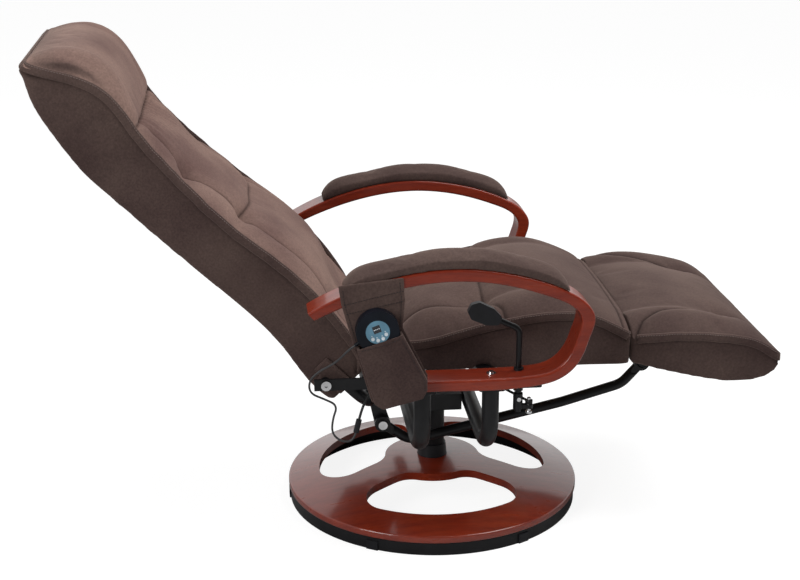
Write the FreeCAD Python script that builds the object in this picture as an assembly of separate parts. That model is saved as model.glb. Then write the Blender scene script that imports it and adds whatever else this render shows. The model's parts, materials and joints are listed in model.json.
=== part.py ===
import FreeCAD, Part
import math
import os

os.makedirs("parts", exist_ok=True)
V = FreeCAD.Vector
X_AXIS = V(1, 0, 0)
Y_AXIS = V(0, 1, 0)
Z_AXIS = V(0, 0, 1)

# Massage recliner in its reclined rest pose, in mm.
# +X is the sitter's forward direction, -Y the sitter's right, Z = 0 the floor, the swivel axis at X = Y = 0.

# Driving sizes of the base
BASE_RADIUS = 300.0
DOME_RADIUS = 1050.0
RING_HEIGHT = 24.0
WOOD_THICK = 16.0
RIM_WIDTH = 64.0
HUB_RADIUS = 98.0
SPOKE_WIDTH = 73.0
COLUMN_RADIUS = 25.0
COLUMN_HEIGHT = 119.0

# Driving sizes of the swivelling frame
HOOP_RADIUS = 16.0
HOOP_BEND = 70.0
LEG_RISE = 130.0
FRONT_HOOP_X = 67.0
REAR_HOOP_X = -60.0
ARM_WIDTH = 62.0
ARM_CLEAR = 47.0
RAIL_THICK = 25.0

# Driving sizes of the upholstery
CUSHION_HALF = 240.0
WELT_BULGE = 7.0
SEAT_CHANNEL = 150.0
BACK_CHANNEL = 165.0
FLAT_ROLL = 0.64
FULL_ROLL = 0.95
BOARD_THICK = 12.0
MOTOR_RADIUS = 30.0
MOTOR_HEIGHT = 22.0

# Driving sizes of the linkage
BACK_ANGLE = 45.4
CRANK_LENGTH = 78.0
CRANK_ANGLE = -39.0
LINK_PLANE = -100.0
LINK_RADIUS = 10.0
LEVER_RADIUS = 5.5
KNUCKLE_RADIUS = 6.0
RUNNING_GAP = 0.05
BODY_GAP = 0.3

# Heights that follow from the driving sizes
RIM_TOP = RING_HEIGHT + WOOD_THICK
DOME_SAG = DOME_RADIUS - math.sqrt(DOME_RADIUS ** 2 - BASE_RADIUS ** 2)
HUB_TOP = RIM_TOP + DOME_SAG
COLUMN_TOP = HUB_TOP + COLUMN_HEIGHT
HOOP_RUN_Z = COLUMN_TOP + 10 + HOOP_RADIUS
RAIL_Z = HOOP_RUN_Z + LEG_RISE
RAIL_TOP = RAIL_Z + RAIL_THICK
SEAT_UNDER = RAIL_Z + 7
ARM_INNER = CUSHION_HALF + WELT_BULGE + ARM_CLEAR
ARM_PLANE = ARM_INNER + ARM_WIDTH / 2
ARM_OUTER = ARM_INNER + ARM_WIDTH
BOARD_HALF = CUSHION_HALF - 42

# Pivots of the recline linkage as (x, z)
BACK_PIVOT = (-234.0, RAIL_Z - 9)
LINK_REAR = (-113.0, RAIL_Z - 162)
FOOT_PIVOT = (350.0, SEAT_UNDER - KNUCKLE_RADIUS)
LINK_FRONT = (
    FOOT_PIVOT[0] + CRANK_LENGTH * math.cos(math.radians(CRANK_ANGLE)),
    FOOT_PIVOT[1] + CRANK_LENGTH * math.sin(math.radians(CRANK_ANGLE)),
)
UP_BACK = (-math.cos(math.radians(BACK_ANGLE)), math.sin(math.radians(BACK_ANGLE)))
OUT_OF_BACK = (UP_BACK[1], -UP_BACK[0])


def save(name, *solids):
    shape = solids[0] if len(solids) == 1 else Part.makeCompound(list(solids))
    shape.exportStep(f"parts/{name}.step")
    print(f"{name}: {len(shape.Solids)} solid(s), {shape.Volume / 1000:.1f} cm3")


def box(x0, x1, y0, y1, z0, z1):
    return Part.makeBox(x1 - x0, y1 - y0, z1 - z0, V(x0, y0, z0))


def rod(radius, start, axis, length):
    return Part.makeCylinder(radius, length, start, axis)


def washer(outer, inner, start, axis, length):
    return rod(outer, start, axis, length).cut(rod(inner, start, axis, length))


def prism(outline, y0, y1):
    """Closed (x, z) outline pulled from y0 to y1."""
    corners = [V(x, y0, z) for x, z in outline]
    face = Part.Face(Part.makePolygon(corners + corners[:1]))
    return face.extrude(V(0, y1 - y0, 0))


def rounded(solid, axis, radius):
    """Rounds the straight edges that run along an axis."""
    edges = []
    for edge in solid.Edges:
        if edge.Curve.TypeId == "Part::GeomLine":
            if abs(edge.tangentAt(edge.FirstParameter).dot(axis)) > 0.999:
                edges.append(edge)
    return solid.makeFillet(radius, edges)


def mirrored(solid):
    return solid.mirror(V(0, 0, 0), Y_AXIS)


def back_point(u, n, y):
    """Point u up the back from its pivot, n in front of its rear face."""
    x = BACK_PIVOT[0] + u * UP_BACK[0] + n * OUT_OF_BACK[0]
    z = BACK_PIVOT[1] + u * UP_BACK[1] + n * OUT_OF_BACK[1]
    return V(x, y, z)


def back_prism(outline, y0, y1):
    corners = [back_point(u, n, 0) for u, n in outline]
    return prism([(p.x, p.z) for p in corners], y0, y1)


def bent_route(points, radii):
    """Straight runs joined by tangent arcs, one radius for each inner point."""
    edges = []
    start = points[0]
    for before, corner, after, radius in zip(points, points[1:], points[2:], radii):
        to_before = (before - corner).normalize()
        to_after = (after - corner).normalize()
        turn = math.pi - to_before.getAngle(to_after)
        reach = radius * math.tan(turn / 2)
        middle = (to_before + to_after).normalize()
        centre = corner + middle * (radius / math.cos(turn / 2))
        entry = corner + to_before * reach
        leave = corner + to_after * reach
        edges.append(Part.LineSegment(start, entry).toShape())
        edges.append(Part.Arc(entry, centre - middle * radius, leave).toShape())
        start = leave
    edges.append(Part.LineSegment(start, points[-1]).toShape())
    return Part.Wire(edges)


def bent_tube(points, radii, radius, wall=0.0):
    route = bent_route(points, radii)
    heading = points[1] - points[0]
    ring = Part.Wire(Part.Circle(points[0], heading, radius).toShape())
    tube = route.makePipeShell([ring], True, False)
    if wall:
        inner = Part.Wire(Part.Circle(points[0], heading, radius - wall).toShape())
        tube = tube.cut(route.makePipeShell([inner], True, False))
    return tube


def cord(name, points, diameter):
    """Round cord whose bends take up nine tenths of the shorter run beside them."""
    radii = []
    for before, corner, after in zip(points, points[1:], points[2:]):
        turn = math.pi - (before - corner).getAngle(after - corner)
        shorter = min((before - corner).Length, (after - corner).Length)
        radii.append(0.45 * shorter / math.tan(turn / 2))
    solid = bent_tube(points, radii, diameter / 2)
    length = bent_route(points, radii).Length
    section = math.pi * diameter ** 2 / 4
    print(f"{name} length {length:.0f} mm, radii {[round(r) for r in radii]}, "
          f"volume ratio {solid.Volume / (section * length):.4f}")
    save(name, solid)


def arc(start, middle, end):
    return Part.Arc(start, middle, end).toShape()


def padded_section(place, half, base, low, high, crown, channel, dip, roll):
    """Closed cushion outline: flat under, bowed sides, a welt, two bolsters and a crowned middle.

    The bolsters rise by a share of the crown."""
    edges = [Part.LineSegment(place(-half, base), place(half, base)).toShape()]
    middle_low = (base + low) / 2
    middle_welt = (low + high) / 2
    seam = high + crown - dip
    bolster = (half + channel) / 2
    edges.append(arc(place(half, base), place(half + 2, middle_low), place(half, low)))
    edges.append(arc(place(half, low), place(half + WELT_BULGE, middle_welt), place(half, high)))
    edges.append(arc(place(half, high), place(bolster, high + roll * crown), place(channel, seam)))
    edges.append(arc(place(channel, seam), place(0, high + crown), place(-channel, seam)))
    edges.append(arc(place(-channel, seam), place(-bolster, high + roll * crown), place(-half, high)))
    edges.append(arc(place(-half, high), place(-half - WELT_BULGE, middle_welt), place(-half, low)))
    edges.append(arc(place(-half, low), place(-half - 2, middle_low), place(-half, base)))
    return Part.Wire(edges)


# Base: a domed wooden disc with three cut-outs over a steel ring and spider
def dome(radius, top):
    """Solid cap of the dome's curve, from the floor up."""
    centre_z = top - DOME_RADIUS
    rim_z = centre_z + math.sqrt(DOME_RADIUS ** 2 - radius ** 2)
    half_x = radius / 2
    half_z = centre_z + math.sqrt(DOME_RADIUS ** 2 - half_x ** 2)
    edges = [
        Part.LineSegment(V(0, 0, 0), V(radius, 0, 0)).toShape(),
        Part.LineSegment(V(radius, 0, 0), V(radius, 0, rim_z)).toShape(),
        arc(V(radius, 0, rim_z), V(half_x, 0, half_z), V(0, 0, top)),
        Part.LineSegment(V(0, 0, top), V(0, 0, 0)).toShape(),
    ]
    return Part.Face(Part.Wire(edges)).revolve(V(0, 0, 0), Z_AXIS, 360)


def spokes(width, length, height):
    """Three radial bars, the first at -30 degrees."""
    bars = []
    for turn in (-30, 90, 210):
        bar = box(0, length, -width / 2, width / 2, 0, height)
        bars.append(bar.rotate(V(0, 0, 0), Z_AXIS, turn))
    return bars[0].fuse(bars[1:])


HUB_UNDER = HUB_TOP - WOOD_THICK
SPIGOT_RADIUS = 0.6 * COLUMN_RADIUS
HOLE_OUTER = BASE_RADIUS - RIM_WIDTH
HOLE_CORNER = min(0.75 * RIM_WIDTH, 0.45 * (HOLE_OUTER - HUB_RADIUS))
under_dome = dome(BASE_RADIUS, HUB_UNDER)
cutter = washer(HOLE_OUTER, HUB_RADIUS, V(0, 0, 0), Z_AXIS, HUB_TOP)
cutter = cutter.cut(spokes(SPOKE_WIDTH, BASE_RADIUS, HUB_TOP))
disc = dome(BASE_RADIUS, HUB_TOP).cut(under_dome)
disc = disc.cut([rounded(hole, Z_AXIS, HOLE_CORNER) for hole in cutter.Solids])
disc = disc.cut(rod(SPIGOT_RADIUS, V(0, 0, 0), Z_AXIS, HUB_TOP))
rim_edges = [e for e in disc.Edges if e.BoundBox.XLength > 1.9 * BASE_RADIUS]
save("base_disc", disc.makeFillet(WOOD_THICK / 4, rim_edges))

RING_OUTER = BASE_RADIUS - 3
RING_INNER = BASE_RADIUS - 22
CLIP_COUNT = 6
CLIP_WIDTH = 24.0
CLIP_LIP = 2.6
CLIP_TOE = 12.0
clips = []
for index in range(CLIP_COUNT):
    toe = box(RING_OUTER - CLIP_TOE, RING_OUTER, -CLIP_WIDTH / 2, CLIP_WIDTH / 2, 0, CLIP_LIP)
    lip = box(RING_OUTER - 0.5, RING_OUTER + CLIP_LIP, -CLIP_WIDTH / 2, CLIP_WIDTH / 2, 0, RING_HEIGHT - 5)
    clips.append(toe.fuse(lip).rotate(V(0, 0, 0), Z_AXIS, 360 * index / CLIP_COUNT))
ring = washer(RING_OUTER, RING_INNER, V(0, 0, 0), Z_AXIS, HUB_UNDER).common(under_dome).cut(clips)
save("base_ring", ring)
save("base_glides", *clips)

ARM_PLATE = 8.0
spider = under_dome.cut(dome(BASE_RADIUS, HUB_UNDER - ARM_PLATE))
spider_hub = rod(HUB_RADIUS / 2, V(0, 0, 0), Z_AXIS, HUB_UNDER)
spider = spider.common(spokes(SPOKE_WIDTH / 2, RING_INNER, HUB_UNDER).fuse(spider_hub))
save("base_spider", spider.cut([ring, rod(SPIGOT_RADIUS, V(0, 0, 0), Z_AXIS, HUB_TOP)]))

NUT_TOP = HUB_UNDER - ARM_PLATE - 2
NUT_RADIUS = 2 * SPIGOT_RADIUS
save("hub_nut", washer(NUT_RADIUS, SPIGOT_RADIUS, V(0, 0, NUT_TOP - 16), Z_AXIS, 16))

BORE_RADIUS = 0.8 * COLUMN_RADIUS
BORE_FLOOR = HUB_TOP + 20
column = rod(COLUMN_RADIUS, V(0, 0, HUB_TOP), Z_AXIS, COLUMN_HEIGHT)
column = column.fuse(rod(SPIGOT_RADIUS, V(0, 0, NUT_TOP - 18), Z_AXIS, HUB_TOP - NUT_TOP + 18))
save("column_tube", column.cut(rod(BORE_RADIUS, V(0, 0, BORE_FLOOR), Z_AXIS, COLUMN_HEIGHT)))

COLLAR_HEIGHT = 26.0
collar = Part.makeCone(COLUMN_RADIUS + 6, COLUMN_RADIUS + 3, COLLAR_HEIGHT, V(0, 0, HUB_TOP), Z_AXIS)
save("column_collar", collar.cut(rod(COLUMN_RADIUS, V(0, 0, HUB_TOP), Z_AXIS, COLLAR_HEIGHT)))

BEARING_HEIGHT = 4.0
BEARING_TOP = COLUMN_TOP + BEARING_HEIGHT
save("swivel_bearing", washer(COLUMN_RADIUS, BORE_RADIUS + 0.5, V(0, 0, COLUMN_TOP), Z_AXIS, BEARING_HEIGHT))

# Swivel: spindle, plate and the two hoops that carry the arms
PLATE_TOP = HOOP_RUN_Z + 0.8 * HOOP_RADIUS
PLATE_WALL = 6.0
PLATE_HALF_Y = 70.0
SPINDLE_UNDER = BORE_FLOOR + 10
SPINDLE_LENGTH = PLATE_TOP - PLATE_WALL - SPINDLE_UNDER
spindle = rod(BORE_RADIUS - RUNNING_GAP, V(0, 0, SPINDLE_UNDER), Z_AXIS, SPINDLE_LENGTH)
flange_z = BEARING_TOP + BODY_GAP
save("swivel_spindle", spindle.fuse(rod(COLUMN_RADIUS, V(0, 0, flange_z), Z_AXIS, 5)))

plate_rear = REAR_HOOP_X + HOOP_RADIUS
plate_front = FRONT_HOOP_X - HOOP_RADIUS
plate = box(plate_rear, plate_front, -PLATE_HALF_Y, PLATE_HALF_Y, flange_z, PLATE_TOP)
hollow = box(
    plate_rear + PLATE_WALL, plate_front - PLATE_WALL,
    PLATE_WALL - PLATE_HALF_Y, PLATE_HALF_Y - PLATE_WALL, flange_z, PLATE_TOP - PLATE_WALL,
)
save("swivel_plate", plate.cut(hollow))

PAD_PLATE = 4.0
LEG_Y = ARM_PLANE - 3
LEG_TOP = RAIL_Z - PAD_PLATE


def hoop(x):
    """U-shaped tube with a flat pad welded on each leg, under the arm rails."""
    corners = [V(x, -LEG_Y, LEG_TOP), V(x, -LEG_Y, HOOP_RUN_Z), V(x, LEG_Y, HOOP_RUN_Z), V(x, LEG_Y, LEG_TOP)]
    pads = []
    for y in (-LEG_Y, LEG_Y):
        pad = box(x - 24, x + 24, y - 22, y + 22, LEG_TOP, RAIL_Z)
        pads.append(rounded(pad, Z_AXIS, 6))
    return bent_tube(corners, [HOOP_BEND, HOOP_BEND], HOOP_RADIUS, 2.5).fuse(pads)


save("front_hoop", hoop(FRONT_HOOP_X))
save("rear_hoop", hoop(REAR_HOOP_X))

BEAM_HALF = 15.0
BEAM_UNDER = SEAT_UNDER - 24
BEAM_END = LEG_Y - HOOP_RADIUS
BEAM_WALL = 2.5
beams = []
for x in (FRONT_HOOP_X, REAR_HOOP_X):
    beam = box(x - BEAM_HALF, x + BEAM_HALF, -BEAM_END, BEAM_END, BEAM_UNDER, SEAT_UNDER)
    inside = BEAM_HALF - BEAM_WALL
    hollow = box(x - inside, x + inside, -BEAM_END, BEAM_END, BEAM_UNDER + BEAM_WALL, SEAT_UNDER - BEAM_WALL)
    notches = []
    for side in (-1, 1):
        ends = sorted((side * (ARM_INNER - BODY_GAP), side * BEAM_END))
        notches.append(box(x - BEAM_HALF, x + BEAM_HALF, *ends, LEG_TOP - BODY_GAP, SEAT_UNDER))
    beams.append(beam.cut([hollow] + notches))
save("seat_beams", *beams)

# Arms: bent strips in the shape of a loop that is open at the rear, points as (x, height over the rail)
ARM_OUTLINE = [
    (-269, 163), (-140, 217), (-4, 236), (110, 221), (205, 186), (242, 157), (251, 139),
    (244, 101), (223, 49), (190, 20), (140, 7), (60, 2), (-105, 0),
]
ARM_INLINE = [
    (-257, 149), (-130, 196), (-4, 213), (100, 200), (180, 174), (214, 155), (226, 137),
    (221, 103), (205, 63), (178, 37), (140, 28), (60, RAIL_THICK), (-20, RAIL_THICK), (-105, RAIL_THICK),
]
LEVER_X = 120.0
LEVER_Y = -ARM_PLANE + 11
BUSH_RADIUS = LEVER_RADIUS + 3.5


def arm_curve(points, y):
    curve = Part.BSplineCurve()
    curve.interpolate([V(x, y, RAIL_Z + height) for x, height in points])
    return curve.toShape()


def arm_blank(y0):
    outer = arm_curve(ARM_OUTLINE, y0)
    inner = arm_curve(ARM_INLINE, y0)
    rear = Part.LineSegment(outer.Vertexes[0].Point, inner.Vertexes[0].Point).toShape()
    under = Part.LineSegment(inner.Vertexes[-1].Point, outer.Vertexes[-1].Point).toShape()
    face = Part.Face(Part.Wire([outer, under, inner, rear]))
    return face.extrude(V(0, ARM_WIDTH, 0))


left_blank = arm_blank(ARM_INNER)
long_edges = [e for e in left_blank.Edges if e.BoundBox.XLength > 300]
left_arm = left_blank.makeFillet(RAIL_THICK / 6, long_edges)
lever_hole = rod(BUSH_RADIUS, V(LEVER_X, LEVER_Y, RAIL_Z - 1), Z_AXIS, RAIL_THICK + 20)
save("arm_left", left_arm)
save("arm_right", mirrored(left_arm).cut(lever_hole))

rail_curve = arm_curve(ARM_INLINE, ARM_PLANE)


def rail_height(x):
    """Height of the rail's top at x."""
    plumb = Part.LineSegment(V(x, ARM_PLANE, RAIL_Z), V(x, ARM_PLANE, RAIL_Z + 2 * RAIL_THICK)).toShape()
    return plumb.distToShape(rail_curve)[1][0][0].z


SCREW_RADIUS = 9.0
arm_screws = []
for y in (-ARM_PLANE, ARM_PLANE):
    for x in (FRONT_HOOP_X, REAR_HOOP_X):
        top = max(rail_height(x - SCREW_RADIUS), rail_height(x + SCREW_RADIUS)) + 0.1
        head = rod(5, V(x, y, top + 1.5), Z_AXIS, 3)
        arm_screws.append(rod(SCREW_RADIUS, V(x, y, top), Z_AXIS, 1.5).fuse(head))
for reach in (17, 32):
    arm_screws.append(rod(4.5, V(LEVER_X + reach, LEVER_Y - 4, RAIL_Z - 8), Z_AXIS, 4))
save("arm_screws", *arm_screws)

# Arm pads as (x, height of the underside, height of the crest), heights over the rail
PAD_STATIONS = [
    (-205, 184, 204), (-196, 188, 222), (-150, 204, 246), (-60, 222, 264), (10, 226, 268),
    (80, 217, 261), (150, 197, 241), (194, 180, 214), (204, 175, 196),
]


def pad_section(x, under, crest):
    half = ARM_WIDTH / 2
    edge = crest - 0.3 * (crest - under)
    around = ((-1, under), (1, under), (1, edge), (-1, edge))
    corner = [V(x, ARM_PLANE + side * half, RAIL_Z + z) for side, z in around]
    edges = [
        Part.LineSegment(corner[0], corner[1]).toShape(),
        Part.LineSegment(corner[1], corner[2]).toShape(),
        arc(corner[2], V(x, ARM_PLANE, RAIL_Z + crest), corner[3]),
        Part.LineSegment(corner[3], corner[0]).toShape(),
    ]
    return Part.Wire(edges)


left_pad = Part.makeLoft([pad_section(*station) for station in PAD_STATIONS], True, False).cut(left_blank)
left_pad = max(left_pad.Solids, key=lambda solid: solid.CenterOfMass.z)
save("arm_pad_left", left_pad)
save("arm_pad_right", mirrored(left_pad))

# Seat: board, motors and cushion.
# Stations as (x, underside, welt foot, welt top, crown, channel dip) over the seat board's underside.
SEAT_STATIONS = [
    (-175, 0, 24, 36, 10, 3), (-76, 0, 44, 57, 26, 8), (30, -8, 62, 78, 38, 12),
    (130, -10, 82, 98, 42, 16), (232, -10, 88, 105, 36, 12), (285, -10, 78, 93, 26, 8),
    (326, -10, 58, 72, 28, 5), (349, -6, 40, 57, 24, 3),
]
SWEEP_RADIUS = 119.0
SEAT_BOARD = (-108.0, 335.0)


def seat_section(x, base, low, high, crown, dip):
    side = CUSHION_HALF if x < 0 or x > 300 else CUSHION_HALF - 3
    return padded_section(
        lambda y, z: V(x, y, SEAT_UNDER + z), side, base, low, high, crown, SEAT_CHANNEL, dip, FLAT_ROLL,
    )


seat_board = box(*SEAT_BOARD, -BOARD_HALF, BOARD_HALF, SEAT_UNDER, SEAT_UNDER + BOARD_THICK)
save("seat_board", seat_board)
seat_motors = []
for y in (-0.6 * SEAT_CHANNEL, 0.6 * SEAT_CHANNEL):
    seat_motors.append(rod(MOTOR_RADIUS, V(130, y, SEAT_UNDER + BOARD_THICK), Z_AXIS, MOTOR_HEIGHT))
save("seat_motors", *seat_motors)
seat_cushion = Part.makeLoft([seat_section(*station) for station in SEAT_STATIONS], True, False)
board_room = box(*SEAT_BOARD, -BOARD_HALF, BOARD_HALF, BEAM_UNDER, SEAT_UNDER + BOARD_THICK)
beam_room = []
for x in (FRONT_HOOP_X, REAR_HOOP_X):
    beam_room.append(box(x - BEAM_HALF - 1, x + BEAM_HALF + 1, -BEAM_END, BEAM_END, BEAM_UNDER, SEAT_UNDER))
sweep = rod(SWEEP_RADIUS, V(BACK_PIVOT[0], -CUSHION_HALF - 40, BACK_PIVOT[1]), Y_AXIS, 2 * CUSHION_HALF + 80)

# Footrest hinges: two pairs of leaves on one axis under the front edge of the seat
HINGE_HALF = 24.0
LINK_ROOM = 26.0
HINGE_PLANE = HINGE_HALF + LINK_ROOM - LINK_PLANE
PIN_RADIUS = 3.0
LEAF_THICK = 3.0
LEAF_REACH = 44.0
foot_x, foot_z = FOOT_PIVOT


def hinge_leaf(y, direction, spans):
    """Leaf on one side of the axis, with knuckles over the given spans of its width."""
    near = foot_x + direction * (KNUCKLE_RADIUS + 1)
    far = foot_x + direction * LEAF_REACH
    top = foot_z + KNUCKLE_RADIUS
    leaf = box(*sorted((near, far)), y - HINGE_HALF, y + HINGE_HALF, top - LEAF_THICK, top)
    for low, high in spans:
        start = V(foot_x, y + low * HINGE_HALF, foot_z)
        width = (high - low) * HINGE_HALF
        tongue = box(*sorted((near, foot_x)), start.y, start.y + width, top - LEAF_THICK, top)
        leaf = leaf.fuse([rod(KNUCKLE_RADIUS, start, Y_AXIS, width), tongue])
    bore = PIN_RADIUS + RUNNING_GAP if direction > 0 else PIN_RADIUS
    return leaf.cut(rod(bore, V(foot_x, y - HINGE_HALF, foot_z), Y_AXIS, 2 * HINGE_HALF))


GAP_SHARE = BODY_GAP / HINGE_HALF
outer_spans = [(-1, -0.4), (0.4, 1)]
inner_spans = [(-0.4 + GAP_SHARE, 0.4 - GAP_SHARE)]
hinge_planes = (-HINGE_PLANE, HINGE_PLANE)
save("footrest_hinge_leaves", *[hinge_leaf(y, 1, inner_spans) for y in hinge_planes])
seat_hinges = []
for y in hinge_planes:
    pin = rod(PIN_RADIUS, V(foot_x, y - HINGE_HALF, foot_z), Y_AXIS, 2 * HINGE_HALF)
    seat_hinges.append(hinge_leaf(y, -1, outer_spans).fuse(pin))
save("seat_hinges", *seat_hinges)
leaf_pockets = []
for y in hinge_planes:
    leaf_pockets.append(box(
        foot_x - LEAF_REACH, foot_x + LEAF_REACH, y - HINGE_HALF - 1, y + HINGE_HALF + 1,
        foot_z - 2 * KNUCKLE_RADIUS - 20, foot_z + KNUCKLE_RADIUS,
    ))

save("seat_cushion", seat_cushion.cut([sweep, board_room] + beam_room + seat_motors + leaf_pockets))

# Footrest: board, motor, crank and cushion.
# Stations as (x, underside, welt foot, welt top, crown) over the hinge's axis.
FOOT_STATIONS = [
    (351, 1, 45, 60, 25), (400, -12, 47, 64, 31), (470, -30, 46, 64, 30), (550, -44, 38, 56, 22),
    (598, -42, 24, 43, 15), (628, -31, 6, 24, 8), (646, -10, -3, 10, 3),
]
FOOT_FLARE = 6.0
FOOT_BOARD = (362.0, 560.0)
FOOT_BOARD_Z = foot_z + KNUCKLE_RADIUS


def foot_section(x, base, low, high, crown):
    side = CUSHION_HALF if x < 400 else CUSHION_HALF + FOOT_FLARE
    return padded_section(
        lambda y, z: V(x, y, foot_z + z), side, base, low, high, crown, SEAT_CHANNEL, crown / 3, FULL_ROLL,
    )


foot_board = box(*FOOT_BOARD, -BOARD_HALF, BOARD_HALF, FOOT_BOARD_Z, FOOT_BOARD_Z + BOARD_THICK)
foot_motor = rod(MOTOR_RADIUS, V(470, 0, FOOT_BOARD_Z + BOARD_THICK), Z_AXIS, MOTOR_HEIGHT)
save("footrest_board", foot_board)
save("footrest_motor", foot_motor)

CRANK_THICK = 6.0
EYE_RADIUS = 16.0
EYE_WIDTH = 12.0
LINK_PIN = 5.0
PIN_PLAY = 4.6
crank_y = LINK_PLANE + EYE_WIDTH / 2 + 1
pin_x, pin_z = LINK_FRONT
crank_web = prism([
    (pin_x - EYE_RADIUS, pin_z), (pin_x + EYE_RADIUS, pin_z),
    (pin_x + 28, FOOT_BOARD_Z), (pin_x - 34, FOOT_BOARD_Z),
], crank_y, crank_y + CRANK_THICK)
crank_foot = box(pin_x - 34, pin_x + 28, crank_y, crank_y + 30, FOOT_BOARD_Z - 4, FOOT_BOARD_Z)
crank = crank_web.fuse([rod(EYE_RADIUS, V(pin_x, crank_y, pin_z), Y_AXIS, CRANK_THICK), crank_foot])
pin_start = LINK_PLANE - EYE_WIDTH / 2 - 3
link_pin_front = rod(LINK_PIN, V(pin_x, pin_start, pin_z), Y_AXIS, crank_y + CRANK_THICK - pin_start)
link_pin_front = link_pin_front.fuse(rod(LINK_PIN + 4, V(pin_x, pin_start - 4, pin_z), Y_AXIS, 4))
save("footrest_crank", crank.cut(rod(LINK_PIN, V(pin_x, crank_y, pin_z), Y_AXIS, CRANK_THICK)))
save("crank_pin", link_pin_front)
crank_pocket = box(pin_x - 46, pin_x + 46, LINK_PLANE - 24, crank_y + 32, foot_z - 60, FOOT_BOARD_Z)
foot_cushion = Part.makeLoft([foot_section(*station) for station in FOOT_STATIONS], True, False)
save("footrest_cushion", foot_cushion.cut([foot_board, foot_motor, crank_pocket] + leaf_pockets))

# Backrest: board, motors, tube frame, cushion and the padded rear panel behind the board.
# Stations as (u, narrowing of each side, rear face, welt foot, welt top, crown, channel dip).
# Depths count forward from the line up the back through its pivot.
BACK_STATIONS = [
    (-40, 0, -22, 72, 86, 6, 2), (20, 0, -24, 84, 99, 10, 3), (80, 0, -13, 94, 110, 14, 5),
    (150, 3, -5, 98, 114, 32, 10), (260, 3, -7, 92, 108, 36, 16), (340, 5, -11, 84, 100, 38, 13),
    (430, 22, -18, 82, 98, 32, 13), (520, 37, -23, 84, 101, 28, 9), (575, 40, -24, 90, 108, 18, 4),
    (640, 40, -15, 101, 119, 25, 3), (700, 40, -2, 92, 110, 42, 3), (748, 40, 16, 64, 81, 50, 3),
    (790, 44, 34, 42, 57, 9, 2),
]
HEAD_START = 550.0
BACK_BOARD = [(30, 0), (340, 0), (470, 40), (640, 40)]
BOARD_DEPTH = 3.0
TUBE_RADIUS = 12.0
TUBE_DEPTH = 16.0
TUBE_Y = BOARD_HALF + TUBE_RADIUS + 4
TUBE_TOP = 330.0
HOOP_RUN_U = -114.0


out_axis = V(OUT_OF_BACK[0], 0, OUT_OF_BACK[1])
up_axis = V(UP_BACK[0], 0, UP_BACK[1])


def back_section(u, inset, base, low, high, crown, dip):
    side = CUSHION_HALF - inset
    channel = BACK_CHANNEL * side / CUSHION_HALF
    roll = FLAT_ROLL if u < HEAD_START else FULL_ROLL
    return padded_section(
        lambda y, n: back_point(u, n, y), side, base, low, high, crown, channel, dip, roll,
    )


def back_slab(n0, n1):
    """Plate with the outline of the back's board, from depth n0 to n1."""
    right = [back_point(u, n0, inset - BOARD_HALF) for u, inset in BACK_BOARD]
    left = [back_point(u, n0, BOARD_HALF - inset) for u, inset in reversed(BACK_BOARD)]
    face = Part.Face(Part.makePolygon(right + left + right[:1]))
    return face.extrude(out_axis * (n1 - n0))


BOARD_FRONT = BOARD_DEPTH + BOARD_THICK
BEHIND_BACK = -100.0
back_body = Part.makeLoft([back_section(*station) for station in BACK_STATIONS], True, False)
save("backrest_board", back_slab(BOARD_DEPTH, BOARD_FRONT))
save("backrest_panel", back_body.common(back_slab(BEHIND_BACK, BOARD_DEPTH)))
back_motors = []
for u in (200, 430):
    for y in (-0.55 * BACK_CHANNEL, 0.55 * BACK_CHANNEL):
        back_motors.append(rod(MOTOR_RADIUS, back_point(u, BOARD_FRONT, y), out_axis, MOTOR_HEIGHT))
save("backrest_motors", *back_motors)

frame_corners = [
    back_point(TUBE_TOP, TUBE_DEPTH, -TUBE_Y), back_point(HOOP_RUN_U, TUBE_DEPTH, -TUBE_Y),
    back_point(HOOP_RUN_U, TUBE_DEPTH, TUBE_Y), back_point(TUBE_TOP, TUBE_DEPTH, TUBE_Y),
]
save("backrest_frame", bent_tube(frame_corners, [50, 50], TUBE_RADIUS, 2))
tube_channels = []
for y in (-TUBE_Y, TUBE_Y):
    tube_channels.append(rod(TUBE_RADIUS, back_point(-60, TUBE_DEPTH, y), up_axis, TUBE_TOP + 60))

board_pocket = back_slab(BEHIND_BACK, BOARD_FRONT)
save("backrest_cushion", back_body.cut([board_pocket] + tube_channels + back_motors))

# Recline pivots: seat plates outside the backrest, lugs on it and one bolt through each pair
LUG_INNER = CUSHION_HALF + 2.6
LUG_THICK = 5.0
PLATE_INNER = CUSHION_HALF + 22
HINGE_PLATE = 6.0
PLATE_HALF_Z = 11.0
BOLT_RADIUS = 6.0
pivot_x, pivot_z = BACK_PIVOT


def pivot_lug():
    lug = back_prism([(-38, 2), (-38, 34), (30, 34), (30, 2)], LUG_INNER, LUG_INNER + LUG_THICK)
    lug = lug.fuse(rod(14, V(pivot_x, LUG_INNER, pivot_z), Y_AXIS, LUG_THICK))
    return lug.cut(rod(BOLT_RADIUS + RUNNING_GAP, V(pivot_x, LUG_INNER, pivot_z), Y_AXIS, LUG_THICK))


def hinge_plate():
    end = REAR_HOOP_X - BEAM_HALF
    top = pivot_z + PLATE_HALF_Z
    bar = box(pivot_x - 22, end, PLATE_INNER, PLATE_INNER + HINGE_PLATE, pivot_z - PLATE_HALF_Z, top)
    foot = box(end - HINGE_PLATE, end, PLATE_INNER - 30, PLATE_INNER, BEAM_UNDER, top)
    hole = rod(BOLT_RADIUS, V(pivot_x, PLATE_INNER, pivot_z), Y_AXIS, HINGE_PLATE)
    return bar.fuse(foot).cut(hole)


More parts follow.
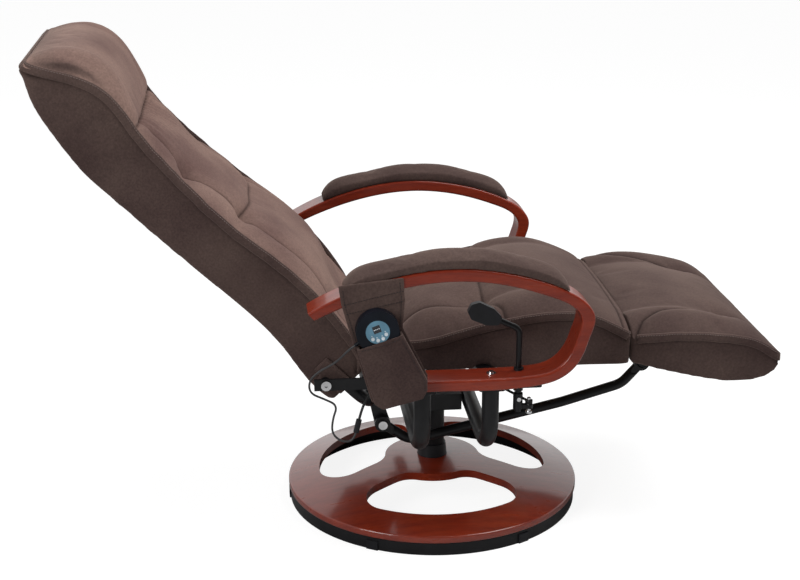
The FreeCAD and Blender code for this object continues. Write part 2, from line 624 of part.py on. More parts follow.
def pivot_bolt():
    start = LUG_INNER + 0.5
    shank = rod(BOLT_RADIUS, V(pivot_x, start, pivot_z), Y_AXIS, PLATE_INNER + HINGE_PLATE - start)
    head = rod(BOLT_RADIUS + 3.5, V(pivot_x, PLATE_INNER + HINGE_PLATE, pivot_z), Y_AXIS, 5)
    socket = rod(BOLT_RADIUS / 2, V(pivot_x, PLATE_INNER + HINGE_PLATE + 2, pivot_z), Y_AXIS, 3)
    return shank.fuse(head).cut(socket)


save("backrest_lugs", pivot_lug(), mirrored(pivot_lug()))
save("hinge_plates", hinge_plate(), mirrored(hinge_plate()))
save("pivot_bolts", pivot_bolt(), mirrored(pivot_bolt()))

# Link from the backrest hoop to the footrest crank, whose pin has play in the wide front eye
link_x, link_z = LINK_REAR
run = back_point(HOOP_RUN_U, TUBE_DEPTH, 0)
bracket = prism([
    (run.x - 2, run.z - TUBE_RADIUS), (run.x + TUBE_RADIUS + 6, run.z + 4),
    (link_x + EYE_RADIUS - 1, link_z + 4), (link_x - EYE_RADIUS + 1, link_z - 4),
], crank_y, crank_y + CRANK_THICK)
bracket = bracket.fuse(rod(EYE_RADIUS, V(link_x, crank_y, link_z), Y_AXIS, CRANK_THICK))
bracket = bracket.fuse(rod(TUBE_RADIUS + 5, V(run.x, crank_y, run.z), Y_AXIS, CRANK_THICK))
tube_hole = rod(TUBE_RADIUS, V(run.x, crank_y, run.z), Y_AXIS, CRANK_THICK)
save("link_bracket", bracket.cut([tube_hole, rod(LINK_PIN, V(link_x, crank_y, link_z), Y_AXIS, CRANK_THICK)]))
link_bolt = rod(LINK_PIN, V(link_x, pin_start, link_z), Y_AXIS, crank_y + CRANK_THICK - pin_start)
save("link_bolt", link_bolt.fuse(rod(LINK_PIN + 4, V(link_x, pin_start - 4, link_z), Y_AXIS, 4)))

LINK_BENDS = [(-58, -201), (250, -131), (372, -96)]
bar_route = [V(link_x, LINK_PLANE, link_z)]
bar_route += [V(x, LINK_PLANE, RAIL_Z + height) for x, height in LINK_BENDS]
EYE_DROP = 4.25
EYE_CLEAR = 6.0
eye_x = pin_x + 0.5
eye_z = pin_z - EYE_DROP
bar_route.append(V(eye_x, LINK_PLANE, eye_z))
bar = bent_tube(bar_route, [45, 300, 50], LINK_RADIUS)
eye_start = LINK_PLANE - EYE_WIDTH / 2
for x, z, bore in ((link_x, link_z, LINK_PIN + RUNNING_GAP), (eye_x, eye_z, LINK_PIN + PIN_PLAY)):
    reach = EYE_RADIUS + EYE_CLEAR
    inner = box(x - reach, x + reach, eye_start + EYE_WIDTH, LINK_PLANE + 20, z - reach, z + reach)
    outer = box(x - reach, x + reach, LINK_PLANE - 20, eye_start, z - reach, z + reach)
    bar = bar.cut([inner, outer]).fuse(rod(EYE_RADIUS, V(x, eye_start, z), Y_AXIS, EYE_WIDTH))
    bar = bar.cut(rod(bore, V(x, eye_start, z), Y_AXIS, EYE_WIDTH))
save("link_bar", bar)

# Release lever in the right arm rail, with its crank, pull rod and lock under the seat
LEVER_FOOT = RAIL_Z - 57
LEVER_BEND_Z = RAIL_Z + 106
bush_foot = V(LEVER_X, LEVER_Y, RAIL_Z + 2)
save("lever_bush", washer(BUSH_RADIUS, LEVER_RADIUS + RUNNING_GAP, bush_foot, Z_AXIS, RAIL_THICK + 4))
paddle_root = V(LEVER_X - 36, LEVER_Y, LEVER_BEND_Z + 17)
lever_route = [V(LEVER_X, LEVER_Y, LEVER_FOOT), V(LEVER_X, LEVER_Y, LEVER_BEND_Z), paddle_root]
save("lever_rod", bent_tube(lever_route, [18], LEVER_RADIUS))

PADDLE_HALF = 6.0
lean = (paddle_root - lever_route[1]).normalize()
side = V(-lean.z, 0, lean.x)
PADDLE_SHAPE = [(0, 8), (22, 17), (52, 18), (64, 8), (64, -8), (52, -18), (22, -17), (0, -8)]
paddle_points = [paddle_root + lean * along + side * across for along, across in PADDLE_SHAPE]
paddle = prism([(p.x, p.z) for p in paddle_points], LEVER_Y - PADDLE_HALF, LEVER_Y + PADDLE_HALF)
save("lever_paddle", rounded(paddle, Y_AXIS, 7))

BRACKET_UNDER = RAIL_Z - 14
lever_plate = box(LEVER_X - 14, LEVER_X + 42, LEVER_Y - 18, LEVER_Y + 14, RAIL_Z - 4, RAIL_Z)
lever_plate = rounded(lever_plate, Z_AXIS, 5)
lever_boss = rod(BUSH_RADIUS, V(LEVER_X, LEVER_Y, BRACKET_UNDER), Z_AXIS, RAIL_Z - BRACKET_UNDER)
lever_bracket = lever_plate.fuse(lever_boss)
lever_bore = rod(LEVER_RADIUS + RUNNING_GAP, V(LEVER_X, LEVER_Y, BRACKET_UNDER), Z_AXIS, 40)
save("lever_bracket", lever_bracket.cut(lever_bore))

LEVER_CRANK = 21.0
CRANK_TOP = BRACKET_UNDER - 6
CRANK_LOW = LEVER_FOOT + 6
crank_tip_x = LEVER_X + LEVER_CRANK
clamp = rod(BUSH_RADIUS, V(LEVER_X, LEVER_Y, CRANK_LOW), Z_AXIS, CRANK_TOP - CRANK_LOW)
tongue = box(LEVER_X, crank_tip_x, LEVER_Y - 5, LEVER_Y + 5, CRANK_LOW, CRANK_LOW + 8)
tip = rod(7, V(crank_tip_x, LEVER_Y, CRANK_LOW), Z_AXIS, 8)
lever_crank = clamp.fuse([tongue, tip])
crank_bolt_hole = rod(3.5, V(crank_tip_x, LEVER_Y, CRANK_LOW), Z_AXIS, 8)
lever_core = rod(LEVER_RADIUS, V(LEVER_X, LEVER_Y, CRANK_LOW), Z_AXIS, CRANK_TOP - CRANK_LOW)
save("lever_crank", lever_crank.cut([crank_bolt_hole, lever_core]))
ROD_Z = CRANK_LOW + 13
crank_bolt = rod(3.5, V(crank_tip_x, LEVER_Y, CRANK_LOW - 6), Z_AXIS, ROD_Z + 8 - CRANK_LOW + 6)
crank_bolt = crank_bolt.fuse(rod(6, V(crank_tip_x, LEVER_Y, CRANK_LOW - 10), Z_AXIS, 4))
clamp_bolt = rod(4, V(LEVER_X, LEVER_Y - BUSH_RADIUS - 4, CRANK_TOP - 9), Y_AXIS, 6).cut(clamp)
save("crank_bolts", crank_bolt, clamp_bolt)

ROD_RADIUS = 2.5
ROD_EYE = 7.0
LOCK_POINT = (FRONT_HOOP_X + 13, 3 - BOARD_HALF)
rod_start = V(crank_tip_x, LEVER_Y, ROD_Z)
rod_end = V(LOCK_POINT[0], LOCK_POINT[1], ROD_Z)
rod_axis = (rod_end - rod_start).normalize()
pull = rod(ROD_RADIUS, rod_start, rod_axis, (rod_end - rod_start).Length)
pull = pull.fuse(rod(ROD_EYE, rod_start - Z_AXIS * 3, Z_AXIS, 6))
save("release_rod", pull.cut(rod(3.5 + RUNNING_GAP, rod_start - Z_AXIS * 3, Z_AXIS, 6)))

LOCK_HALF = 15.0
lock_start = LOCK_POINT[1] - 12
lock = box(FRONT_HOOP_X - 15, FRONT_HOOP_X + 32, lock_start, lock_start + 60, ROD_Z - LOCK_HALF, BEAM_UNDER)
lock_mouth = box(FRONT_HOOP_X - 9, FRONT_HOOP_X + 26, lock_start, lock_start + 52, ROD_Z - 9, ROD_Z + 9)
save("recline_lock", rounded(lock, Z_AXIS, 4).cut(lock_mouth))

# Control box under the seat, with a round power inlet in its left face
BOX_X = (-30.0, 45.0)
BOX_Y = (BOARD_HALF - 138, BOARD_HALF - 58)
BOX_UNDER = SEAT_UNDER - 34
control_box = rounded(box(*BOX_X, *BOX_Y, BOX_UNDER, SEAT_UNDER), Z_AXIS, 5)
INLET_DEPTH = 8.0
inlet_at = V(sum(BOX_X) / 2, BOX_Y[1] - INLET_DEPTH, (BOX_UNDER + SEAT_UNDER) / 2)
save("control_box", control_box.cut(rod(4, inlet_at, Y_AXIS, INLET_DEPTH)))

# Pouch on the right arm: a panel and a pocket, outlines as (x, height over the rail)
PANEL_OUTLINE = [
    (-215, 214), (-99, 226), (-96, 187), (-100, 133), (-55, 40), (-55, 16), (-64, 0),
    (-139, -19), (-157, -8), (-189, 101), (-210, 179),
]
POCKET_OUTLINE = [(-184, 101), (-153, -5), (-138, -15), (-66, 3), (-58, 18), (-58, 38), (-103, 127)]
PANEL_SKIN = 3.0
POCKET_DEPTH = 21.0
POCKET_WALL = 2.5
panel_y = -ARM_OUTER - 1 - PANEL_SKIN
pocket_y = panel_y - POCKET_DEPTH
save("pouch_panel", prism([(x, RAIL_Z + z) for x, z in PANEL_OUTLINE], panel_y, panel_y + PANEL_SKIN))
pocket_points = [(x, RAIL_Z + z) for x, z in POCKET_OUTLINE]
pocket = prism(pocket_points, pocket_y - POCKET_WALL, panel_y)
corners = [V(x, pocket_y, z) for x, z in pocket_points]
inside = Part.Face(Part.makePolygon(corners + corners[:1])).makeOffset2D(-POCKET_WALL)
along = (corners[-1] - corners[0]).normalize()
across = V(-along.z, 0, along.x) * (3 * POCKET_WALL)
mouth_left = corners[0] + along * (2 * POCKET_WALL)
mouth_right = corners[-1] - along * (1.4 * POCKET_WALL)
mouth_points = [mouth_left - across, mouth_right - across, mouth_right + across, mouth_left + across]
mouth = prism([(p.x, p.z) for p in mouth_points], pocket_y, panel_y)
save("pouch_pocket", pocket.cut([inside.extrude(V(0, POCKET_DEPTH, 0)), mouth]))

# Handset standing in the pocket
HANDSET_RADIUS = 39.0
HANDSET_AT = (-147.0, 133.0)
HANDLE_HALF = 22.0
HANDLE_LENGTH = 90.0
HANDSET_LEAN = 20.0
BUTTON_RADIUS = 3.2
BUTTON_REACH = 15.5
BUTTON_TRAVEL = 0.8
handset_x = HANDSET_AT[0]
handset_z = RAIL_Z + HANDSET_AT[1]
handset_back = panel_y - 0.5
handset_face = pocket_y + 0.4
handset_depth = handset_back - handset_face


def handset_point(across, up, y):
    turn = math.radians(HANDSET_LEAN)
    x = handset_x + across * math.cos(turn) - up * math.sin(turn)
    z = handset_z + across * math.sin(turn) + up * math.cos(turn)
    return V(x, y, z)


head = rod(HANDSET_RADIUS, handset_point(0, 0, handset_face), Y_AXIS, handset_depth)
HANDLE_END = HANDLE_HALF - 4
handle_corners = [
    (-HANDLE_HALF, 0), (HANDLE_HALF, 0), (HANDLE_END, -HANDLE_LENGTH), (-HANDLE_END, -HANDLE_LENGTH),
]
handle_at = [handset_point(across, up, 0) for across, up in handle_corners]
handle = prism([(p.x, p.z) for p in handle_at], handset_face, handset_back)
gland_y = (handset_face + handset_back) / 2
gland_axis = (handset_point(-1, -0.25, 0) - handset_point(0, 0, 0)).normalize()
gland_root = handset_point(0, 0, gland_y) + gland_axis * (HANDSET_RADIUS - 3)
shell = head.fuse([handle, rod(3.5, gland_root, gland_axis, 12)])
DIAL_RADIUS = 21.5
DISPLAY_HALF = 7.0
DISPLAY_UP = 5.5
dial_disc = rod(DIAL_RADIUS, handset_point(0, 0, handset_face), Y_AXIS, 1.5)
display_corners = ((-1, -1), (1, -1), (1, 1), (-1, 1))
display_points = [handset_point(a * DISPLAY_HALF, DISPLAY_UP + u * DISPLAY_HALF, 0) for a, u in display_corners]
display = prism([(p.x, p.z) for p in display_points], handset_face, handset_face + 1)
wells = []
for index, spread in enumerate((-54, -18, 18, 54)):
    turn = math.radians(spread)
    centre = handset_point(BUTTON_REACH * math.sin(turn), -BUTTON_REACH * math.cos(turn), handset_face)
    wells.append(rod(BUTTON_RADIUS + BODY_GAP, centre, Y_AXIS, 3.5))
    button = rod(BUTTON_RADIUS, centre - Y_AXIS * 1.2, Y_AXIS, 1.2 + 3.5 - BUTTON_TRAVEL - BODY_GAP)
    save(f"handset_button_{index + 1}", button)
    print(f"button {index + 1} at {centre.x:.1f} {centre.z:.1f}")
save("handset_shell", shell.cut([dial_disc] + wells))
save("handset_dial", dial_disc.cut([display] + wells))
save("handset_display", display)

# Handset cord round the rear end of the right hinge plate, inline plug and lead to the control box
CORD_DIAMETER = 4.0
LEAD_DIAMETER = 5.0
CORD_PLANE = -(PLATE_INNER - 7)
gland_end = gland_root + gland_axis * 12
PLUG_RADIUS = 5.5
plug_low = V(pivot_x + 56, CORD_PLANE, pivot_z - 102)
plug_high = V(pivot_x + 62, CORD_PLANE, pivot_z - 77)
plug_axis = (plug_high - plug_low).normalize()
save("inline_plug", rod(PLUG_RADIUS, plug_low, plug_axis, (plug_high - plug_low).Length))
cord("handset_cord", [
    gland_end, gland_end + gland_axis * 14,
    V(pivot_x + 22, 11 - ARM_OUTER, pivot_z + 81), V(pivot_x + 6, 10 - ARM_PLANE, pivot_z + 57),
    V(pivot_x - 12, 10 - ARM_INNER, pivot_z + 36), V(pivot_x - 32, CORD_PLANE - 12, pivot_z + 10),
    V(pivot_x - 30, CORD_PLANE, pivot_z - 20), V(pivot_x - 4, CORD_PLANE, pivot_z - 32),
    V(pivot_x + 22, CORD_PLANE, pivot_z - 46), V(pivot_x + 12, CORD_PLANE, pivot_z - 74),
    V(pivot_x + 10, CORD_PLANE, pivot_z - 104), V(pivot_x + 30, CORD_PLANE, pivot_z - 122),
    plug_low - plug_axis * 18, plug_low,
], CORD_DIAMETER)
box_entry = V(BOX_X[0], sum(BOX_Y) / 2, BOX_UNDER + 5)
cord("control_lead", [
    plug_high, plug_high + plug_axis * 22,
    V(pivot_x + 82, CORD_PLANE + 18, pivot_z - 34), V(pivot_x + 102, CORD_PLANE + 50, pivot_z - 20),
    V(pivot_x + 122, CORD_PLANE + 95, BOX_UNDER + 3), V(pivot_x + 136, CORD_PLANE + 147, BOX_UNDER + 5),
    V(pivot_x + 144, CORD_PLANE + 201, BOX_UNDER + 4), V(pivot_x + 148, CORD_PLANE + 255, BOX_UNDER + 5),
    V(pivot_x + 158, CORD_PLANE + 308, BOX_UNDER + 4), box_entry - X_AXIS * 26, box_entry,
], LEAD_DIAMETER)
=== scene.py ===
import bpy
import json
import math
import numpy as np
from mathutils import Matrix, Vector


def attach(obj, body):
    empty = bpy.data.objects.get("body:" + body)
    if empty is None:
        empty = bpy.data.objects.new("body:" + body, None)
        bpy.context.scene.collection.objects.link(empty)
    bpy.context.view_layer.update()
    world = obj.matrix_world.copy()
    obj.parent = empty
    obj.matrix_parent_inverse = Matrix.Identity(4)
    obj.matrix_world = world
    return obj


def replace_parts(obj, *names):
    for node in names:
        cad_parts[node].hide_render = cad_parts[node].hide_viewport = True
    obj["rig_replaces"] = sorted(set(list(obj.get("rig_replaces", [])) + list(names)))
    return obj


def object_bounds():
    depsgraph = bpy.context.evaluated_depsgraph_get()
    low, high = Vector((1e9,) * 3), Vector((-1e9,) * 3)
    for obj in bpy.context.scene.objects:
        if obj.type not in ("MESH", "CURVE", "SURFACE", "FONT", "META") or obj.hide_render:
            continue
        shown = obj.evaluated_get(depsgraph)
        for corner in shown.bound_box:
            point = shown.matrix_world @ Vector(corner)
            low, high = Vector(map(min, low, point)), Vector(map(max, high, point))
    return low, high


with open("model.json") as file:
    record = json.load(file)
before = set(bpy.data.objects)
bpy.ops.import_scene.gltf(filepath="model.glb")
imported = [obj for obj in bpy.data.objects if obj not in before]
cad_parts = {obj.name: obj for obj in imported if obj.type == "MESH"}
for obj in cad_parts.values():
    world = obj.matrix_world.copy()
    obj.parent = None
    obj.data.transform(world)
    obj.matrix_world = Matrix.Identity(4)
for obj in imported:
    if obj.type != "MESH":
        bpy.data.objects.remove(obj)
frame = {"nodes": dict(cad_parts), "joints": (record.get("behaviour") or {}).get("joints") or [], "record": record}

# %% [markdown]
# # A massage recliner, dressed in Blender
# The chair's solids are already in place: steel, wood, hinges and plain blocks of padding.
# This lesson gives them a studio, finishes, sewn upholstery, a pouch with a handset, and cords.
# Each piece is made in the same frame as the solids, in metres, with the floor at zero height.

scene = bpy.context.scene
nodes = frame["nodes"]
cad_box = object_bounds()
MM = 0.001
joint_at = {joint["name"]: Vector(joint["pos_m"]) for joint in frame["joints"] if joint.get("pos_m")}
BACK_PIVOT = joint_at["recline"]
RAIL_Z = joint_at["lever_turn"].z
BACK_ANGLE = math.radians(45.4)
UP_BACK = Vector((-math.cos(BACK_ANGLE), 0, math.sin(BACK_ANGLE)))
OUT_OF_BACK = Vector((math.sin(BACK_ANGLE), 0, math.cos(BACK_ANGLE)))
box_text = " to ".join(str([round(v, 3) for v in corner]) for corner in cad_box)
print(f"{len(nodes)} solids, box {box_text}")


def select_only(piece):
    """Deselects everything, then makes one object selected and active."""
    bpy.ops.object.select_all(action="DESELECT")
    piece.select_set(True)
    bpy.context.view_layer.objects.active = piece


def apply_all(piece):
    """Applies the modifiers of a piece in their order."""
    select_only(piece)
    for modifier in list(piece.modifiers):
        bpy.ops.object.modifier_apply(modifier=modifier.name)


def settle(piece):
    """Puts a piece's place into its mesh, so that its object sits at the origin."""
    select_only(piece)
    bpy.ops.object.transform_apply(location=True, rotation=True, scale=True)


def read_points(piece):
    points = np.zeros(len(piece.data.vertices) * 3)
    piece.data.vertices.foreach_get("co", points)
    return points.reshape(-1, 3)


def write_points(piece, points):
    piece.data.vertices.foreach_set("co", points.ravel())
    piece.data.update()


def read_normals(piece):
    normals = np.zeros(len(piece.data.vertices) * 3)
    piece.data.vertices.foreach_get("normal", normals)
    return normals.reshape(-1, 3)


# %% [markdown]
# ## Camera, light and floor
# The photograph looks down at the chair's right side through a fairly long lens.
# The light is a bright studio: a broad lamp high in front of the sitter, one beside the camera
# and a pale room. Gloss mirrors the white backdrop behind the chair and the dim studio in front of it.
# The floor is white for the camera and still takes a soft shadow.

# %% Camera
CAMERA_AT = (-0.37568, -2.91150, 1.40399)
CAMERA_TILT = 71.841
CAMERA_TURN = -6.047
SENSOR_MM = 36
LENS_MM = 68.67
camera_data = bpy.data.cameras.new("studio_camera")
camera_data.sensor_width = SENSOR_MM
camera_data.lens = LENS_MM
camera = bpy.data.objects.new("studio_camera", camera_data)
camera.location = CAMERA_AT
camera.rotation_euler = (math.radians(CAMERA_TILT), 0, math.radians(CAMERA_TURN))
scene.collection.objects.link(camera)
scene.camera = camera
scene.view_settings.view_transform = "Standard"
print("camera at", [round(v, 2) for v in camera.location])


# %% Lamps and the pale room
def lamp(name, location, target, size, power):
    data = bpy.data.lights.new(name, "AREA")
    data.shape = "DISK"
    data.size = size
    data.energy = power
    fixture = bpy.data.objects.new(name, data)
    fixture.location = location
    fixture.rotation_euler = (Vector(target) - Vector(location)).to_track_quat("-Z", "Y").to_euler()
    scene.collection.objects.link(fixture)


lamp("high_front", location=(1.4, -0.2, 3.1), target=(-0.3, 0, 0.5), size=2.2, power=90)
lamp("beside_left", location=(-3.2, -2.7, 2.2), target=(-0.2, 0, 0.5), size=2.0, power=84)

ROOM_LIGHT = 0.35
DIM_STUDIO = 0.12
WHITE_BACKDROP = 1.0
BACKDROP_EDGE = 0.3

room = bpy.data.worlds.new("pale_room")
scene.world = room
room.use_nodes = True
room_nodes = room.node_tree.nodes
room_links = room.node_tree.links
room_nodes["Background"].inputs["Color"].default_value = (1, 1, 1, 1)
light_path = room_nodes.new("ShaderNodeLightPath")
direction = room_nodes.new("ShaderNodeSeparateXYZ")
room_links.new(room_nodes.new("ShaderNodeTexCoord").outputs["Object"], direction.inputs["Vector"])
mirrored = room_nodes.new("ShaderNodeMapRange")
mirrored.inputs["From Min"].default_value = -BACKDROP_EDGE
mirrored.inputs["From Max"].default_value = BACKDROP_EDGE
mirrored.inputs["To Min"].default_value = DIM_STUDIO
mirrored.inputs["To Max"].default_value = WHITE_BACKDROP
room_links.new(direction.outputs["Y"], mirrored.inputs["Value"])
lit = room_nodes.new("ShaderNodeMix")
lit.inputs["A"].default_value = ROOM_LIGHT
room_links.new(light_path.outputs["Is Glossy Ray"], lit.inputs["Factor"])
room_links.new(mirrored.outputs["Result"], lit.inputs["B"])
strength = room_nodes.new("ShaderNodeMix")
strength.inputs["B"].default_value = WHITE_BACKDROP
room_links.new(light_path.outputs["Is Camera Ray"], strength.inputs["Factor"])
room_links.new(lit.outputs["Result"], strength.inputs["A"])
room_links.new(strength.outputs["Result"], room_nodes["Background"].inputs["Strength"])
print("2 lamps and a pale room")

# %% Floor
FLOOR_SIZE = 40
FLOOR_DROP = 0.0005
SEEN_GREY = 0.26
GLOW_GREY = 0.88
BOUNCE_GREY = 0.5
bpy.ops.object.select_all(action="DESELECT")
bpy.ops.mesh.primitive_plane_add(size=FLOOR_SIZE, location=(0, 0, -FLOOR_DROP))
floor = bpy.context.object
floor.name = "studio_floor"
floor_look = bpy.data.materials.new("pale_floor")
floor_look.use_nodes = True
tree = floor_look.node_tree
tree.nodes.clear()
floor_path = tree.nodes.new("ShaderNodeLightPath")
paint = tree.nodes.new("ShaderNodeBsdfDiffuse")
paint.inputs["Color"].default_value = (SEEN_GREY, SEEN_GREY, SEEN_GREY, 1)
glow = tree.nodes.new("ShaderNodeEmission")
glow.inputs["Color"].default_value = (GLOW_GREY, GLOW_GREY, GLOW_GREY, 1)
seen_paint = tree.nodes.new("ShaderNodeAddShader")
tree.links.new(paint.outputs[0], seen_paint.inputs[0])
tree.links.new(glow.outputs[0], seen_paint.inputs[1])
bounce = tree.nodes.new("ShaderNodeBsdfDiffuse")
bounce.inputs["Color"].default_value = (BOUNCE_GREY, BOUNCE_GREY, BOUNCE_GREY, 1)
floor_mix = tree.nodes.new("ShaderNodeMixShader")
tree.links.new(floor_path.outputs["Is Camera Ray"], floor_mix.inputs["Fac"])
tree.links.new(bounce.outputs[0], floor_mix.inputs[1])
tree.links.new(seen_paint.outputs[0], floor_mix.inputs[2])
floor_out = tree.nodes.new("ShaderNodeOutputMaterial")
tree.links.new(floor_mix.outputs[0], floor_out.inputs["Surface"])
floor.data.materials.append(floor_look)
print(f"floor of {FLOOR_SIZE} m")

# %% [markdown]
# ## Finishes
# Every finish is built from noise on Object coordinates, which are metres in the chair's own frame.
# A finish helper starts a material, and small helpers add a noise, a ramp between colours and a bump.
# Values that are the same all over are set on the shader's own sockets.


# %% Helpers for finishes
class Finish:
    """A material under construction, with its shader and a coordinate source."""

    def __init__(self, name):
        self.material = bpy.data.materials.new(name)
        self.material.use_nodes = True
        self.tree = self.material.node_tree
        self.shader = self.tree.nodes["Principled BSDF"]
        self.place = self.tree.nodes.new("ShaderNodeTexCoord").outputs["Object"]

    def set(self, **sockets):
        for name, value in sockets.items():
            self.shader.inputs[name.replace("_", " ")].default_value = value

    def stretched(self, scale, turn=(0, 0, 0)):
        mapping = self.tree.nodes.new("ShaderNodeMapping")
        mapping.inputs["Scale"].default_value = scale
        mapping.inputs["Rotation"].default_value = turn
        self.tree.links.new(self.place, mapping.inputs["Vector"])
        return mapping.outputs["Vector"]

    def noise(self, scale, detail=3.0, place=None):
        node = self.tree.nodes.new("ShaderNodeTexNoise")
        node.inputs["Scale"].default_value = scale
        node.inputs["Detail"].default_value = detail
        self.tree.links.new(place or self.place, node.inputs["Vector"])
        return node.outputs["Fac"]

    def ramp(self, value, *stops):
        node = self.tree.nodes.new("ShaderNodeValToRGB")
        while len(node.color_ramp.elements) < len(stops):
            node.color_ramp.elements.new(0.5)
        for element, (position, colour) in zip(node.color_ramp.elements, stops):
            element.position = position
            element.color = (*colour, 1)
        self.tree.links.new(value, node.inputs["Fac"])
        return node.outputs["Color"]

    def mixed(self, share, first, second, blend="MIX"):
        node = self.tree.nodes.new("ShaderNodeMix")
        node.data_type = "RGBA"
        node.blend_type = blend
        for source, socket in ((share, "Factor_Float"), (first, "A_Color"), (second, "B_Color")):
            target = next(s for s in node.inputs if s.identifier == socket)
            if isinstance(source, (float, tuple)):
                target.default_value = source
            else:
                self.tree.links.new(source, target)
        return next(s for s in node.outputs if s.identifier == "Result_Color")

    def spread(self, value, low, high):
        node = self.tree.nodes.new("ShaderNodeMapRange")
        node.inputs["To Min"].default_value = low
        node.inputs["To Max"].default_value = high
        self.tree.links.new(value, node.inputs["Value"])
        return node.outputs["Result"]

    def bump(self, value, strength, distance, under=None):
        node = self.tree.nodes.new("ShaderNodeBump")
        node.inputs["Strength"].default_value = strength
        node.inputs["Distance"].default_value = distance
        self.tree.links.new(value, node.inputs["Height"])
        if under:
            self.tree.links.new(under, node.inputs["Normal"])
        return node.outputs["Normal"]

    def attribute(self, name):
        node = self.tree.nodes.new("ShaderNodeAttribute")
        node.attribute_name = name
        return node.outputs["Fac"]

    def link(self, output, socket):
        self.tree.links.new(output, self.shader.inputs[socket])


# %% [markdown]
# ### Suede
# The cover is a brown brushed microfibre. Stroked one way its nap is paler, the other way darker,
# so broad soft patches lie over a fine grain.
# The upper faces are made paler with painted light, and the seams darker with painted shade.
# A sheen lobe gives the pale edge that brushed cloth shows at a glancing angle.


# %% Suede
PLAIN = (1, 1, 1)
# painted light: factor that makes the upper faces paler
PAINTED_LIGHT_FACTOR = (2.8, 2.72, 2.6)
# painted shade: factor that darkens the creases and grooves
PAINTED_SHADE_FACTOR = (0.3, 0.28, 0.28)


def make_suede(name, dark, pale):
    look = Finish(name)
    nap = look.ramp(look.noise(scale=7.0, detail=4.0), (0.32, dark), (0.68, pale))
    grain = look.noise(scale=260.0, detail=4.0)
    speckle = look.ramp(grain, (0.25, (0.72, 0.72, 0.72)), (0.75, (1.12, 1.1, 1.08)))
    grained = look.mixed(1.0, nap, speckle, "MULTIPLY")
    # painted light on the upper faces, then painted shade along the seams
    painted_top_light_ramp = look.ramp(look.attribute("painted_top_light"), (0.0, PLAIN), (1.0, PAINTED_LIGHT_FACTOR))
    painted_top_light = look.mixed(1.0, grained, painted_top_light_ramp, "MULTIPLY")
    shade = look.ramp(look.attribute("painted_seam_shade"), (0.0, PLAIN), (1.0, PAINTED_SHADE_FACTOR))
    look.link(look.mixed(1.0, painted_top_light, shade, "MULTIPLY"), "Base Color")
    fibres = look.bump(look.noise(scale=1500.0, detail=2.0), strength=0.35, distance=0.0004)
    folds = look.noise(scale=95.0, detail=5.0)
    look.link(look.bump(folds, strength=0.35, distance=0.0012, under=fibres), "Normal")
    look.set(Roughness=0.95, Sheen_Weight=0.35, Sheen_Roughness=0.45, Sheen_Tint=(0.66, 0.5, 0.43, 1))
    look.set(Specular_IOR_Level=0.15)
    return look.material


suede = make_suede("brown_suede", dark=(0.054, 0.033, 0.031), pale=(0.096, 0.064, 0.056))


def make_thread(name, dark, pale):
    look = Finish(name)
    look.link(look.ramp(look.noise(900.0), (0.3, dark), (0.7, pale)), "Base Color")
    look.set(Roughness=0.7)
    return look.material


pale_thread = make_thread("pale_thread", dark=(0.10, 0.07, 0.062), pale=(0.17, 0.125, 0.11))
dark_thread = make_thread("dark_thread", dark=(0.012, 0.008, 0.008), pale=(0.024, 0.016, 0.016))
print("suede and two threads")

# %% [markdown]
# ### Mahogany
# The base and the arms are bent laminated wood, stained red and lacquered to a gloss.
# The grain is a noise drawn out along the length, and a clear coat carries the reflections.


# %% Mahogany
def make_mahogany(name, along, coat, shine):
    look = Finish(name)
    figure = look.noise(1.0, 6.0, look.stretched(along))
    stain = ((0.25, (0.17, 0.017, 0.007)), (0.55, (0.235, 0.026, 0.009)), (0.8, (0.28, 0.036, 0.012)))
    colour = look.ramp(figure, *stain)
    pores = look.noise(6.0, 2.0, look.stretched(along))
    pore_shade = look.ramp(pores, (0.35, (0.86, 0.83, 0.82)), (0.6, (1, 1, 1)))
    look.link(look.mixed(1.0, colour, pore_shade, "MULTIPLY"), "Base Color")
    look.link(look.spread(figure, 0.34, 0.24), "Roughness")
    look.link(look.bump(pores, 0.06, 0.0004), "Normal")
    look.set(Coat_Weight=coat, Coat_Roughness=0.12, Specular_IOR_Level=shine)
    return look.material


base_wood = make_mahogany("mahogany_base", along=(9, 70, 70), coat=0.9, shine=0.35)
arm_wood = make_mahogany("mahogany_arms", along=(7, 95, 60), coat=0.5, shine=0.2)
print("mahogany for the base and the arms")

# %% [markdown]
# ### Steel, plastic and small finishes
# The frame is black powder coat, which has a faint orange-peel surface.
# Bolts are bright plated steel, and the paddle, clips and boxes are moulded black plastic.


# %% Steel and plastic
def make_coated(name, colour, roughness, grain_scale, grain_depth, **extra):
    """Painted or moulded surface: one colour, mottled a little, with a fine grain."""
    look = Finish(name)
    dark = tuple(0.75 * c for c in colour)
    pale = tuple(1.3 * c for c in colour)
    look.link(look.ramp(look.noise(30.0, 4.0), (0.3, dark), (0.7, pale)), "Base Color")
    look.link(look.spread(look.noise(45.0, 3.0), roughness - 0.06, roughness + 0.08), "Roughness")
    look.link(look.bump(look.noise(grain_scale, 2.0), 0.25, grain_depth), "Normal")
    look.set(**extra)
    return look.material


